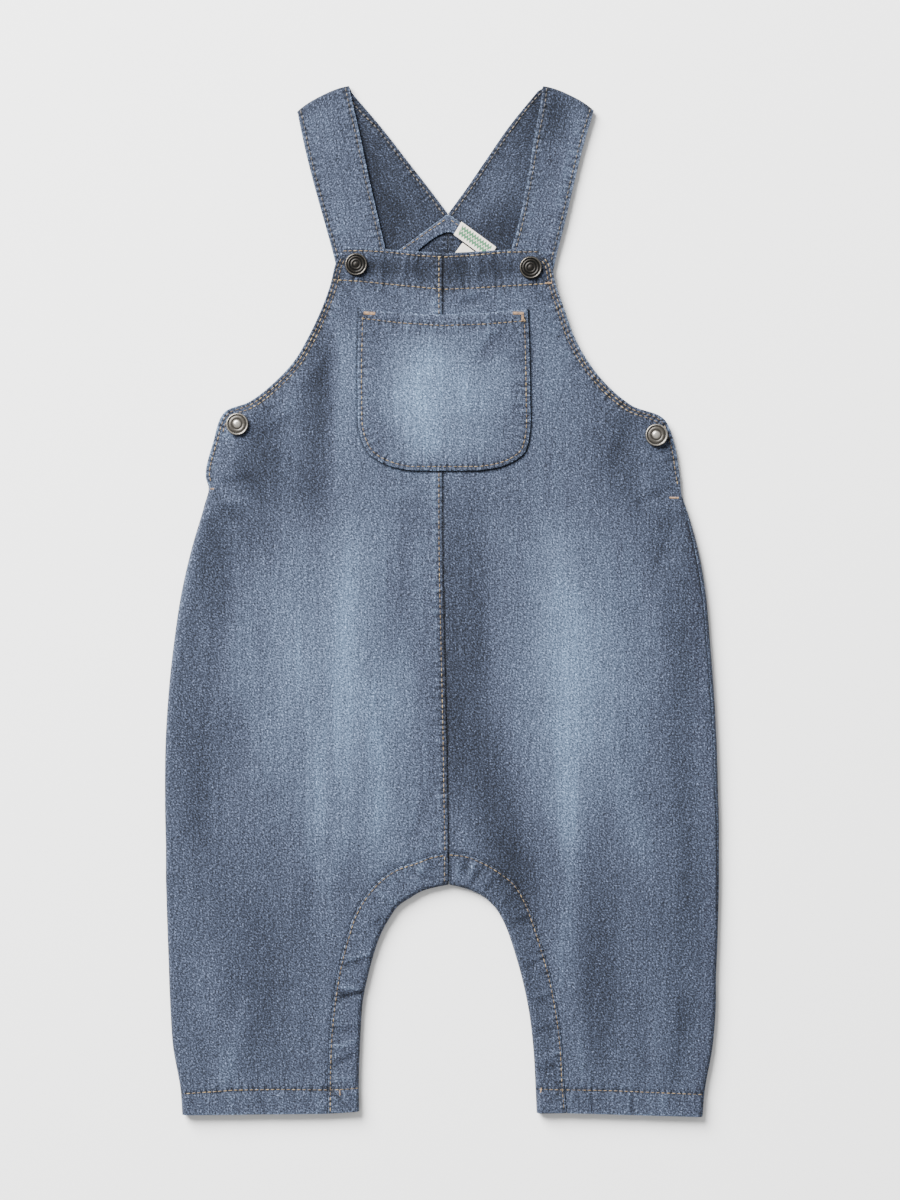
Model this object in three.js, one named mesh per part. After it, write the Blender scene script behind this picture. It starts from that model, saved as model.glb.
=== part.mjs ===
import * as THREE from "three";

// Kids dungarees laid flat on their back, in millimetres: X across, Y from the hems up to the
// straps, Z up off the surface they lie on. Left and right are the left and right of the view
// from above. Every cloth piece is a wall between an outer and an inner grid of points, and the
// grids come from the outline tables below, one row for each section of the garment.

// Cloth thicknesses
const DENIM = 1.2;
const TURNED_HEM = 2.2;
const STRAP_AT_SHOULDER = 2.0;
const STRAP_AT_BASE = 1.2;
const FACING = 1.0;
const LABEL = 0.5;

// How the laid garment stacks
const SEAM_GAP = 0.3;
const FOLD_RADIUS = 2.7;
const LEG_HEIGHT = 2 * FOLD_RADIUS;
const POCKET_SEAT = 0.45;

// Grid fineness
const ROW_STEP = 14;
const FRONT_CELLS = 10;
const BACK_CELLS = 4;
const ARC_CELLS = 4;
const BAND_CELLS = 2;

// Snap caps
const SNAP_DIAMETER = 12;
const SNAP_HEIGHT = 2.2;
const SNAP_SIDES = 18;

const CHAMBRAY = { color: 0x6d7c90, roughness: 0.92, metalness: 0 };
const CHAMBRAY_DARK = { color: 0x57657c, roughness: 0.94, metalness: 0 };
const CHAMBRAY_FADED = { color: 0x99a9b8, roughness: 0.9, metalness: 0 };
const LABEL_CREAM = { color: 0xe9e3d2, roughness: 0.8, metalness: 0 };
const GUNMETAL = { color: 0x4a4744, roughness: 0.38, metalness: 0.9 };
const OLD_SILVER = { color: 0x9a9184, roughness: 0.35, metalness: 0.9 };

const table = (names, rows) =>
  rows.map((row) => Object.fromEntries(names.map((name, i) => [name, row[i]])));

// Sections of the body from the top of the bib to just above the crotch: the centre seam's
// point, then the point of each side's edge
const BODY = table(
  ["seamX", "seamY", "leftX", "leftY", "rightX", "rightY"],
  [
    [0.5, 185.2, -51.7, 188.9, 51.2, 187.9],
    [0.5, 180.4, -56.5, 179.9, 57.6, 181.0],
    [0.5, 171.4, -59.2, 169.2, 60.2, 169.8],
    [0.5, 156.4, -64.5, 154.3, 65.0, 155.4],
    [0.5, 142.6, -70.4, 141.5, 69.8, 141.5],
    [0.5, 129.8, -77.8, 128.7, 76.8, 128.7],
    [0.5, 118.1, -88.5, 117.0, 86.3, 116.5],
    [0.5, 107.4, -102.3, 106.3, 100.2, 104.7],
    [0.5, 97.8, -115.1, 101.0, 118.3, 96.7],
    [0.5, 83.4, -121.5, 84.5, 123.7, 82.3],
    [0.5, 66.8, -125.3, 66.2, 126.3, 66.8],
    [0.5, 59.4, -123.7, 60.5, 128.2, 57.1],
    [0.5, 47.7, -126.9, 49.8, 131.0, 47.1],
    [0.6, 28.0, -133.4, 28.0, 136.4, 28.0],
    [1.0, 4.0, -138.9, 4.0, 140.2, 4.0],
    [1.6, -22.0, -142.8, -22.0, 142.1, -22.0],
    [2.2, -48.0, -145.6, -48.0, 143.8, -48.0],
    [2.8, -76.0, -147.3, -76.0, 145.7, -76.0],
    [3.2, -104.0, -147.6, -104.0, 147.2, -104.0],
    [3.6, -124.0, -147.4, -119.0, 147.6, -119.0],
  ],
);

// Sections of each leg from the crotch to the hem: the seam of the inner-leg band, the fold
// where the band turns under, the side's edge, and the wall
const LEG_COLUMNS = ["seamX", "seamY", "foldX", "foldY", "edgeX", "edgeY", "wall"];
const LEFT_LEG = table(LEG_COLUMNS, [
  [3.7, -133.5, 3.7, -150.8, -147.1, -130.3, DENIM],
  [-5.3, -135.1, -3.5, -152.2, -147.1, -139.5, DENIM],
  [-14.9, -138.6, -10.7, -154.3, -147.1, -148.4, DENIM],
  [-24.7, -142.0, -17.0, -157.9, -146.8, -157.0, DENIM],
  [-33.0, -147.9, -23.5, -162.4, -146.6, -165.0, DENIM],
  [-40.5, -156.2, -28.0, -168.8, -146.3, -173.5, DENIM],
  [-46.4, -166.0, -32.0, -176.0, -146.0, -182.5, DENIM],
  [-50.9, -179.4, -35.8, -186.2, -145.6, -192.5, DENIM],
  [-54.6, -193.7, -39.2, -198.8, -145.3, -203.0, DENIM],
  [-57.6, -211.3, -42.1, -213.0, -144.7, -216.5, DENIM],
  [-59.7, -232.1, -43.5, -234.0, -143.4, -236.0, DENIM],
  [-60.5, -257.8, -44.1, -257.0, -139.6, -259.4, DENIM],
  [-60.6, -259.8, -44.2, -258.8, -139.1, -261.4, TURNED_HEM],
  [-60.6, -272.4, -44.0, -271.4, -138.3, -273.2, TURNED_HEM],
]);
const RIGHT_LEG = table(LEG_COLUMNS, [
  [3.7, -133.5, 3.7, -150.8, 147.6, -130.3, DENIM],
  [12.8, -134.6, 9.0, -151.9, 147.6, -139.5, DENIM],
  [22.4, -138.3, 15.5, -153.9, 147.6, -147.5, DENIM],
  [31.4, -143.6, 22.3, -157.4, 147.5, -156.0, DENIM],
  [39.2, -150.0, 28.0, -162.7, 147.3, -164.0, DENIM],
  [44.8, -159.1, 32.0, -169.0, 147.0, -172.5, DENIM],
  [49.0, -169.8, 35.3, -176.5, 146.8, -181.0, DENIM],
  [53.8, -184.7, 40.1, -191.5, 146.4, -190.5, DENIM],
  [58.1, -200.1, 43.4, -204.0, 146.0, -201.0, DENIM],
  [61.8, -218.8, 46.7, -221.0, 145.2, -215.5, DENIM],
  [64.0, -236.4, 48.8, -238.0, 143.2, -236.0, DENIM],
  [65.2, -257.6, 50.4, -257.3, 139.1, -260.0, DENIM],
  [65.3, -259.6, 50.5, -259.3, 138.6, -262.0, TURNED_HEM],
  [66.4, -272.1, 52.2, -272.4, 138.6, -274.2, TURNED_HEM],
]);

// Sections of the back above the side seams. Its first row is the seam that joins the straps.
const BACK_TOP = table(
  ["seamX", "seamY", "leftX", "leftY", "rightX", "rightY"],
  [
    [3.2, 206.6, -35.2, 178.4, 41.6, 178.4],
    [3.2, 187.3, -43.7, 166.0, 49.0, 166.0],
    [2.7, 166.0, -52.8, 151.1, 58.1, 151.1],
    [2.1, 144.7, -64.0, 136.2, 66.1, 136.2],
    [1.6, 126.1, -77.8, 122.9, 76.8, 122.9],
    [1.4, 110.1, -94.9, 109.5, 91.7, 109.5],
    [1.2, 96.7, -112.5, 98.3, 113.0, 96.7],
    [1.0, 85.0, -119.9, 85.0, 122.1, 82.9],
    [0.8, 66.8, -124.2, 66.2, 125.4, 66.8],
    [0.6, 59.4, -124.0, 60.5, 127.6, 57.1],
  ],
);
const FIRST_SEWN_ROW = 12;

// How the edge of the front lies at each height of Y: the level of its top, and the angles at
// which the front and the back stop on the rounded side, 90 on top and -90 underneath.
// On the left the front wraps under the side, and on the right the back wraps over it.
const SIDE = table(
  ["y", "top", "frontLeft", "backLeft", "frontRight", "backRight"],
  [
    [300, 5.2, 70, -78, 70, -78],
    [165, 5.2, 70, -78, 70, -78],
    [138, 3.6, 64, -78, 64, -78],
    [67, 3.5, 60, -78, 60, -78],
    [58.5, 4.0, 24, -68, 62, -30],
    [48.5, LEG_HEIGHT, -35, -35, 55, 55],
    [-300, LEG_HEIGHT, -35, -35, 55, 55],
  ],
);

// The level of the front away from its edges, higher where it lies over the straps
const MIDDLE = table(
  ["y", "top"],
  [
    [300, 5.2],
    [165, 5.2],
    [130, 4.6],
    [70, 4.9],
    [20, LEG_HEIGHT],
    [-300, LEG_HEIGHT],
  ],
);

// Swells and troughs of the front, each a soft line between two points: height over the
// level around it, and the half-width over which it dies away
const RELIEF = table(
  ["x0", "y0", "x1", "y1", "width", "height"],
  [
    [-25, 120, 25, 120, 60, 1.0],
    [-70, -20, -62, -110, 55, 0.7],
    [75, -20, 72, -110, 55, 0.7],
    [-52, 46, -50, -130, 13, 0.6],
    [66, 34, 70, -220, 13, 0.6],
    [-74, 135, -72, 55, 14, -0.8],
    [76, 110, 92, 60, 14, -0.7],
    [16, 42, 22, -52, 14, -1.0],
    [22, -52, 40, -128, 13, -1.1],
    [-22, -40, -30, -120, 13, -0.6],
    [-92, -150, -94, -250, 16, -1.0],
    [86, -142, 88, -250, 15, -1.0],
    [-112, 55, -106, 0, 13, -0.8],
    [112, 40, 104, -30, 14, -0.7],
    [-120, -120, -104, -60, 10, -0.6],
    [122, -140, 108, -70, 11, -0.6],
    [-76, -150, -82, -240, 9, 0.5],
    [-120, -170, -118, -245, 10, 0.4],
    [120, -165, 116, -245, 10, 0.4],
  ],
);
const LOWEST_TOP = 3.3;
const HIGHEST_TOP = 6.2;
const EDGE_FADE = 16;
const CROTCH_BLEND = [-95, -133];

// The pocket's outline from its mouth down to its rounded lower corners
const POCKET = table(
  ["y", "leftX", "rightX"],
  [
    [155.8, -44.0, 45.6],
    [140.0, -44.5, 46.3],
    [123.4, -44.8, 46.7],
    [107.0, -44.7, 46.9],
    [91.4, -44.0, 46.9],
    [84.5, -42.0, 45.8],
    [79.0, -38.9, 43.7],
    [74.8, -33.5, 38.5],
    [71.6, -26.0, 31.0],
    [69.6, -17.0, 20.0],
  ],
);
const POCKET_CELLS = 10;
const POCKET_MOUTH_SAG = 3.3;
const POCKET_PUFF = 0.5;

// Each strap from its seam on the back panel, up the back run, over the fold at the shoulder,
// and down the front run to its end under the bib: the outer and the inner edge
const STRAP_COLUMNS = ["outX", "outY", "inX", "inY"];
const LEFT_STRAP = {
  back: table(STRAP_COLUMNS, [
    [-35.2, 179.1, 3.0, 207.3],
    [-38.8, 196.0, -6.0, 218.9],
    [-45.0, 213.0, -18.0, 234.3],
    [-59.0, 236.0, -32.0, 252.3],
    [-75.9, 257.3, -48.2, 271.3],
  ]),
  crease: { outX: -77.3, outY: 260.9, inX: -49.6, inY: 274.8 },
  front: table(STRAP_COLUMNS, [
    [-76.4, 257.6, -48.9, 271.4],
    [-71.8, 241.0, -43.5, 247.5],
    [-66.2, 221.0, -38.0, 222.5],
    [-60.7, 201.0, -33.1, 200.5],
    [-56.3, 185.0, -30.0, 187.0],
    [-52.0, 166.0, -25.5, 166.0],
  ]),
};
const RIGHT_STRAP = {
  back: table(STRAP_COLUMNS, [
    [41.6, 179.1, 3.4, 207.3],
    [44.6, 196.0, 12.2, 218.9],
    [50.5, 213.0, 24.0, 234.5],
    [63.5, 236.0, 37.4, 252.3],
    [78.7, 258.6, 53.2, 271.2],
  ]),
  crease: { outX: 80.0, outY: 262.0, inX: 54.4, inY: 274.5 },
  front: table(STRAP_COLUMNS, [
    [79.1, 258.7, 53.7, 271.2],
    [74.6, 243.0, 49.5, 248.0],
    [69.5, 222.0, 45.3, 223.0],
    [64.8, 201.0, 40.8, 201.0],
    [60.4, 185.0, 37.0, 187.0],
    [55.6, 166.0, 32.6, 166.0],
  ]),
};
const STRAP_CELLS = 3;
const STRAP_ARC_CELLS = 6;

// The facing inside the back neck: its upper edge lies just below the strap seam
const NECK_FACING = table(
  ["x", "top", "bottom"],
  [
    [-24.6, 186.2, 178.0],
    [-17.0, 191.8, 183.0],
    [-9.0, 197.7, 190.0],
    [-2.0, 202.8, 194.8],
    [3.2, 206.2, 196.6],
    [9.0, 202.3, 194.4],
    [16.0, 197.1, 189.6],
    [24.0, 191.2, 184.0],
    [31.4, 185.8, 178.0],
  ],
);

// The label and the tag under it: the ends of the upper edge, and the step to the lower edge
const NECK_LABEL = { x0: 9.6, y0: 201.5, x1: 28.4, y1: 187.6, dropX: -3.6, dropY: -6.2 };
const NECK_TAG = { x0: 11.0, y0: 191.0, x1: 24.2, y1: 181.3, dropX: -5.3, dropY: -7.2 };

const SNAPS = table(
  ["name", "x", "y", "finish"],
  [
    ["snap_bib_left", -45.6, 179.2, GUNMETAL],
    ["snap_bib_right", 47.2, 177.5, GUNMETAL],
    ["snap_side_left", -108.8, 94.3, OLD_SILVER],
    ["snap_side_right", 114.1, 88.5, OLD_SILVER],
  ],
);

const radians = (degrees) => (degrees * Math.PI) / 180;
const mix = (a, b, t) => a + (b - a) * t;
const mixPoints = (a, b, t) => a.map((value, i) => mix(value, b[i], t));
const clamp = (value, low, high) => Math.min(high, Math.max(low, value));
const smooth = (t) => {
  const s = clamp(t, 0, 1);
  return s * s * (3 - 2 * s);
};

// The row of a table at a height of Y, between the two rows that hold it
function rowAt(rows, y) {
  const next = clamp(rows.findIndex((row) => row.y <= y), 1, rows.length - 1);
  const upper = rows[next - 1];
  const lower = rows[next];
  const t = clamp((upper.y - y) / (upper.y - lower.y), 0, 1);
  return Object.fromEntries(Object.keys(upper).map((key) => [key, mix(upper[key], lower[key], t)]));
}

// Rows added between those of a table, so that no two are further apart than the step
function refine(rows, step) {
  const made = [rows[0]];
  for (let i = 1; i < rows.length; i++) {
    const [a, b] = [rows[i - 1], rows[i]];
    const reach = Math.max(Math.hypot(b.seamX - a.seamX, b.seamY - a.seamY), Math.abs(b.edgeY - a.edgeY));
    const parts = Math.max(1, Math.ceil(reach / step));
    for (let k = 1; k <= parts; k++) {
      const between = Object.keys(a).map((key) => [key, mix(a[key], b[key], k / parts)]);
      made.push(Object.fromEntries(between));
    }
  }
  return made;
}

// A line of points moved sideways, with its corners mitred
function offsetLine(points, distance) {
  const normals = points.slice(1).map((point, i) => {
    const along = [point[0] - points[i][0], point[1] - points[i][1]];
    const length = Math.hypot(...along);
    return [along[1] / length, -along[0] / length];
  });
  return points.map((point, i) => {
    const before = normals[Math.max(0, i - 1)];
    const after = normals[Math.min(normals.length - 1, i)];
    const scale = distance / (1 + before[0] * after[0] + before[1] * after[1]);
    return [point[0] + (before[0] + after[0]) * scale, point[1] + (before[1] + after[1]) * scale];
  });
}

// One closed wall between an outer and an inner grid of points, faces pointing out
function wallGeometry(outer, inner) {
  const rows = outer.length;
  const columns = outer[0].length;
  const positions = [outer, inner].flat(3);
  const at = (side, r, c) => (side * rows + r) * columns + c;
  const faces = [];
  const quad = (a, b, c, d) => faces.push([a, b, c], [a, c, d]);
  for (let r = 0; r < rows - 1; r++) {
    for (let c = 0; c < columns - 1; c++) {
      quad(at(0, r, c), at(0, r + 1, c), at(0, r + 1, c + 1), at(0, r, c + 1));
      quad(at(1, r, c), at(1, r, c + 1), at(1, r + 1, c + 1), at(1, r + 1, c));
    }
    const last = columns - 1;
    quad(at(0, r, 0), at(1, r, 0), at(1, r + 1, 0), at(0, r + 1, 0));
    quad(at(0, r, last), at(0, r + 1, last), at(1, r + 1, last), at(1, r, last));
  }
  for (let c = 0; c < columns - 1; c++) {
    const last = rows - 1;
    quad(at(0, 0, c), at(0, 0, c + 1), at(1, 0, c + 1), at(1, 0, c));
    quad(at(0, last, c), at(1, last, c), at(1, last, c + 1), at(0, last, c + 1));
  }
  const corner = (i) => new THREE.Vector3().fromArray(positions, 3 * i);
  const volume = faces.reduce((sum, [a, b, c]) => sum + corner(a).dot(corner(b).cross(corner(c))), 0);
  const outward = volume > 0 ? faces : faces.map(([a, b, c]) => [a, c, b]);
  const geometry = new THREE.BufferGeometry();
  geometry.setAttribute("position", new THREE.Float32BufferAttribute(positions, 3));
  geometry.setIndex(outward.flat());
  geometry.computeVertexNormals();
  return geometry;
}

function clothPiece(name, finish, grids) {
  const mesh = new THREE.Mesh(
    wallGeometry(grids.outer, grids.inner),
    new THREE.MeshStandardMaterial(finish),
  );
  mesh.name = name;
  return mesh;
}

// Sum of the swells and troughs at a point of the front
function reliefAt(x, y) {
  return RELIEF.reduce((sum, fold) => {
    const [dx, dy] = [fold.x1 - fold.x0, fold.y1 - fold.y0];
    const along = ((x - fold.x0) * dx + (y - fold.y0) * dy) / (dx * dx + dy * dy);
    const t = clamp(along, 0, 1);
    const away = Math.hypot(x - fold.x0 - t * dx, y - fold.y0 - t * dy) / fold.width;
    return sum + fold.height * Math.exp(-away * away);
  }, 0);
}

// The level of the front's upper face, away from its edges
const frontTop = (x, y) => clamp(rowAt(MIDDLE, y).top + reliefAt(x, y), LOWEST_TOP, HIGHEST_TOP);

// The two points, outer and inner, of a rounded edge at an angle: 90 on top, -90 underneath.
// The clearance holds both back from that angle, by the same distance along each arc.
function edgePair(edge, inward, centre, wall, degrees, clearance = 0) {
  const place = (radius) => {
    const angle = radians(degrees) + clearance / radius;
    const inset = FOLD_RADIUS - radius * Math.cos(angle);
    return [
      edge[0] + inward[0] * inset,
      edge[1] + inward[1] * inset,
      centre + radius * Math.sin(angle),
    ];
  };
  return [place(FOLD_RADIUS), place(FOLD_RADIUS - wall)];
}

// Both faces of a panel: a flat run of cells from its seam, then an arc round its side edge
function panelGrids(rows, seam, cells, level, turn, start, centre) {
  const outer = [];
  const inner = [];
  rows.forEach((row, r) => {
    const edge = [row.edgeX, row.edgeY];
    const reach = Math.hypot(seam[r][0] - edge[0], seam[r][1] - edge[1]);
    const inward = [(seam[r][0] - edge[0]) / reach, (seam[r][1] - edge[1]) / reach];
    const arcStart = [edge[0] + inward[0] * FOLD_RADIUS, edge[1] + inward[1] * FOLD_RADIUS];
    const pairs = [];
    for (let c = 0; c < cells; c++) {
      const [x, y] = mixPoints(seam[r], arcStart, c / cells);
      pairs.push(level(x, y, row, (c / cells) * reach, (1 - c / cells) * reach));
    }
    for (let k = 0; k <= ARC_CELLS; k++) {
      const degrees = mix(start, turn(row), k / ARC_CELLS);
      const clearance = k < ARC_CELLS ? 0 : (Math.sign(start) * SEAM_GAP) / 2;
      pairs.push(edgePair(edge, inward, centre(row), row.wall, degrees, clearance));
    }
    outer.push(pairs.map((pair) => pair[0]));
    inner.push(pairs.map((pair) => pair[1]));
  });
  return { outer, inner };
}

function bodyRows(rows, side) {
  return rows.map((row) => ({
    seamX: row.seamX,
    seamY: row.seamY,
    edgeX: row[side + "X"],
    edgeY: row[side + "Y"],
    wall: DENIM,
  }));
}

const legRows = (leg) =>
  leg.map(({ seamX, seamY, edgeX, edgeY, wall }) => ({ seamX, seamY, edgeX, edgeY, wall }));

const seamPoints = (rows) => rows.map((row) => [row.seamX, row.seamY]);

// Half of the front, from the bib's top edge to the hem
function frontPanel(name, side, leg, outwards) {
  const rows = refine([...bodyRows(BODY, side), ...legRows(leg)], ROW_STEP);
  const seam = offsetLine(seamPoints(rows), (outwards * SEAM_GAP) / 2);
  const stop = side === "left" ? "frontLeft" : "frontRight";
  const level = (x, y, row, fromSeam, fromEdge) => {
    const inLeg = smooth((row.seamY - CROTCH_BLEND[0]) / (CROTCH_BLEND[1] - CROTCH_BLEND[0]));
    const fade = smooth(fromEdge / EDGE_FADE) * mix(1, smooth(fromSeam / EDGE_FADE), inLeg);
    const top = mix(rowAt(SIDE, row.edgeY).top, frontTop(x, y), fade);
    return [[x, y, top], [x, y, top - row.wall]];
  };
  const turn = (row) => rowAt(SIDE, row.edgeY)[stop];
  const centre = (row) => rowAt(SIDE, row.edgeY).top - FOLD_RADIUS;
  return clothPiece(name, CHAMBRAY, panelGrids(rows, seam, FRONT_CELLS, level, turn, 90, centre));
}

// Half of the back, from the strap seam to the hem, flat on the surface
function backPanel(name, side, leg, outwards) {
  const sewn = BODY.slice(FIRST_SEWN_ROW);
  const rows = [...bodyRows([...BACK_TOP, ...sewn], side), ...legRows(leg)];
  const seam = offsetLine(seamPoints(rows), (outwards * SEAM_GAP) / 2);
  const stop = side === "left" ? "backLeft" : "backRight";
  const level = (x, y, row) => [[x, y, 0], [x, y, row.wall]];
  const turn = (row) => rowAt(SIDE, row.edgeY)[stop];
  const centre = () => FOLD_RADIUS;
  const grids = panelGrids(rows, seam, BACK_CELLS, level, turn, -90, centre);
  return clothPiece(name, CHAMBRAY_DARK, grids);
}

// The band of the inner leg: flat on top, round the fold, and flat underneath
function innerLegBand(name, leg, outwards) {
  const seam = offsetLine(seamPoints(leg), (-outwards * SEAM_GAP) / 2);
  seam[0] = [seam[0][0] + Math.sign(leg[1].seamX - leg[0].seamX) * (SEAM_GAP / 2), seam[0][1]];
  const outer = [];
  const inner = [];
  leg.forEach((row, r) => {
    const shift = r === 0 ? Math.sign(leg[1].seamX - leg[0].seamX) * (SEAM_GAP / 2) : 0;
    const fold = [row.foldX + shift, row.foldY];
    const reach = Math.hypot(seam[r][0] - fold[0], seam[r][1] - fold[1]);
    const inward = [(seam[r][0] - fold[0]) / reach, (seam[r][1] - fold[1]) / reach];
    const arcStart = [fold[0] + inward[0] * FOLD_RADIUS, fold[1] + inward[1] * FOLD_RADIUS];
    const pairs = [];
    for (let c = 0; c < BAND_CELLS; c++) {
      const [x, y] = mixPoints(seam[r], arcStart, c / BAND_CELLS);
      pairs.push([[x, y, LEG_HEIGHT], [x, y, LEG_HEIGHT - row.wall]]);
    }
    for (let k = 0; k <= ARC_CELLS; k++) {
      pairs.push(edgePair(fold, inward, FOLD_RADIUS, row.wall, mix(90, -90, k / ARC_CELLS)));
    }
    for (let c = 1; c <= BAND_CELLS; c++) {
      const [x, y] = mixPoints(arcStart, seam[r], c / BAND_CELLS);
      pairs.push([[x, y, 0], [x, y, row.wall]]);
    }
    outer.push(pairs.map((pair) => pair[0]));
    inner.push(pairs.map((pair) => pair[1]));
  });
  return clothPiece(name, CHAMBRAY, { outer, inner });
}

// The patch pocket, made from the front's points moved out, with a mouth that sags a little
function bibPocket() {
  const [mouth, foot] = [POCKET[0].y, POCKET[POCKET.length - 1].y];
  const outer = [];
  const inner = [];
  for (const row of POCKET) {
    const down = (mouth - row.y) / (mouth - foot);
    const points = [];
    for (let c = 0; c <= POCKET_CELLS; c++) {
      const across = c / POCKET_CELLS;
      const bow = Math.sin(Math.PI * across);
      const x = mix(row.leftX, row.rightX, across);
      const y = row.y - POCKET_MOUTH_SAG * bow * (1 - down);
      const under = frontTop(x, y) + POCKET_SEAT;
      points.push([x, y, under, under + DENIM + POCKET_PUFF * bow * Math.sin(Math.PI * down)]);
    }
    outer.push(points.map(([x, y, , top]) => [x, y, top]));
    inner.push(points.map(([x, y, under]) => [x, y, under]));
  }
  return clothPiece("bib_pocket", CHAMBRAY_FADED, { outer, inner });
}

// One strap in one length: the back run on the surface, the rounded fold, and the front run
function strap(name, route) {
  const outer = [];
  const inner = [];
  const add = (row, outerLevel, innerLevel) => {
    const across = (level) =>
      Array.from({ length: STRAP_CELLS + 1 }, (_, c) => {
        const t = c / STRAP_CELLS;
        return [mix(row.outX, row.inX, t), mix(row.outY, row.inY, t), level];
      });
    outer.push(across(outerLevel));
    inner.push(across(innerLevel));
  };
  const seatY = route.back[0].inY;
  const shoulderY = route.crease.inY;
  const backThickness = (y) =>
    mix(STRAP_AT_BASE, STRAP_AT_SHOULDER, clamp((y - seatY) / (shoulderY - seatY), 0, 1));
  route.back.forEach((row) => add(row, 0, backThickness(row.inY)));

  const foldTop = 2 * STRAP_AT_SHOULDER + SEAM_GAP;
  const foldRadius = foldTop / 2;
  const bore = SEAM_GAP / 2;
  const { outX, outY, inX, inY } = route.crease;
  const length = Math.hypot(inX - outX, inY - outY);
  const upward = inX > outX ? 1 : -1;
  const away = [(-upward * (inY - outY)) / length, (upward * (inX - outX)) / length];
  for (let k = 1; k < STRAP_ARC_CELLS; k++) {
    const angle = radians(mix(-90, 90, k / STRAP_ARC_CELLS));
    const shifted = (radius) => {
      const out = radius * Math.cos(angle) - foldRadius;
      const level = foldRadius + radius * Math.sin(angle);
      return Array.from({ length: STRAP_CELLS + 1 }, (_, c) => {
        const t = c / STRAP_CELLS;
        return [mix(outX, inX, t) + away[0] * out, mix(outY, inY, t) + away[1] * out, level];
      });
    };
    outer.push(shifted(foldRadius));
    inner.push(shifted(bore));
  }

  route.front.forEach((row) => {
    const under = backThickness(row.outY) + SEAM_GAP;
    add(row, under + STRAP_AT_SHOULDER, under);
  });
  return clothPiece(name, CHAMBRAY, { outer, inner });
}

function neckFacing() {
  const level = DENIM + SEAM_GAP;
  const across = (row, z) => [[row.x, row.top, z], [row.x, row.bottom, z]];
  return clothPiece("back_neck_facing", CHAMBRAY_DARK, {
    outer: NECK_FACING.map((row) => across(row, level + FACING)),
    inner: NECK_FACING.map((row) => across(row, level)),
  });
}

function ribbonPiece(name, ribbon) {
  const level = DENIM + FACING + 2 * SEAM_GAP;
  const upper = (z) => [[ribbon.x0, ribbon.y0, z], [ribbon.x1, ribbon.y1, z]];
  const lower = (z) => upper(z).map(([x, y]) => [x + ribbon.dropX, y + ribbon.dropY, z]);
  return clothPiece(name, LABEL_CREAM, {
    outer: [upper(level + LABEL), lower(level + LABEL)],
    inner: [upper(level), lower(level)],
  });
}

// A pressed cap: a rounded rim, a ring and a dished centre
function snapCap({ name, x, y, finish }) {
  const radius = SNAP_DIAMETER / 2;
  const profile = [
    [0, 0],
    [0.86 * radius, 0],
    [radius, 0.35 * SNAP_HEIGHT],
    [0.97 * radius, 0.8 * SNAP_HEIGHT],
    [0.84 * radius, SNAP_HEIGHT],
    [0.7 * radius, 0.72 * SNAP_HEIGHT],
    [0.35 * radius, 0.84 * SNAP_HEIGHT],
    [0, 0.7 * SNAP_HEIGHT],
  ];
  const points = profile.map(([r, h]) => new THREE.Vector2(r, h));
  const mesh = new THREE.Mesh(
    new THREE.LatheGeometry(points, SNAP_SIDES),
    new THREE.MeshStandardMaterial(finish),
  );
  mesh.name = name;
  mesh.rotation.x = Math.PI / 2;
  mesh.position.set(x, y, frontTop(x, y) + SEAM_GAP);
  return mesh;
}

const group = new THREE.Group();
group.add(
  frontPanel("front_left", "left", LEFT_LEG, 1),
  frontPanel("front_right", "right", RIGHT_LEG, -1),
  backPanel("back_left", "left", LEFT_LEG, 1),
  backPanel("back_right", "right", RIGHT_LEG, -1),
  innerLegBand("inner_leg_band_left", LEFT_LEG, 1),
  innerLegBand("inner_leg_band_right", RIGHT_LEG, -1),
  bibPocket(),
  strap("strap_left", LEFT_STRAP),
  strap("strap_right", RIGHT_STRAP),
  neckFacing(),
  ribbonPiece("neck_label", NECK_LABEL),
  ribbonPiece("neck_tag", NECK_TAG),
  ...SNAPS.map(snapCap),
);

export default group;
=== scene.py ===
import logging
import math
from dataclasses import dataclass, field
from enum import Enum
from typing import NamedTuple

import bmesh
import bpy
import numpy as np
from mathutils import Matrix, Vector
from mathutils.bvhtree import BVHTree


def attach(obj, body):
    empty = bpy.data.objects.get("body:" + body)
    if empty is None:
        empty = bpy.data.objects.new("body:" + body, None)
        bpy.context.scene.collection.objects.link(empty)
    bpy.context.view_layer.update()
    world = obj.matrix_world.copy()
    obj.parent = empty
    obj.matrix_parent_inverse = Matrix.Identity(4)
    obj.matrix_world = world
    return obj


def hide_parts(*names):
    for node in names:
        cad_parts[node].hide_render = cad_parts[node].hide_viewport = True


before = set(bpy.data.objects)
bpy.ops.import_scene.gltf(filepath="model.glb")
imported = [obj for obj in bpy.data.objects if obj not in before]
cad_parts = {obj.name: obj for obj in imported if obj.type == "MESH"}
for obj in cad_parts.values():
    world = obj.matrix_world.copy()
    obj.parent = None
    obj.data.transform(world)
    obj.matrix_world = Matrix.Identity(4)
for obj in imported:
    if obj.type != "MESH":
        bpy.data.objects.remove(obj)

# Kids dungarees in faded chambray, laid flat on their back. The tables are in millimetres in
# the garment's frame: X across, Y from the hems up to the straps, Z up off the surface.
log = logging.getLogger("dungarees")
MM = 0.001
Array = np.ndarray
Colour = tuple[float, float, float]
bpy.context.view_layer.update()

# Cloth and lay
DENIM = 1.2
STRAP_CLOTH = 1.6
FACING_CLOTH = 0.9
POCKET_CLOTH = 0.9
LABEL_CLOTH = 0.45
LAYER_GAP = 0.3
POCKET_SEAT = 0.45
FOLD_RADIUS = 2.7
LEG_HEIGHT = 2 * FOLD_RADIUS
LOWEST_TOP = 3.3
HIGHEST_TOP = 6.2
EDGE_FADE = 16.0
FOLD_BULGE = 1.9
CROTCH_BLEND = (-95.0, -133.0)
SMALLEST_CUT = 10.5

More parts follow.
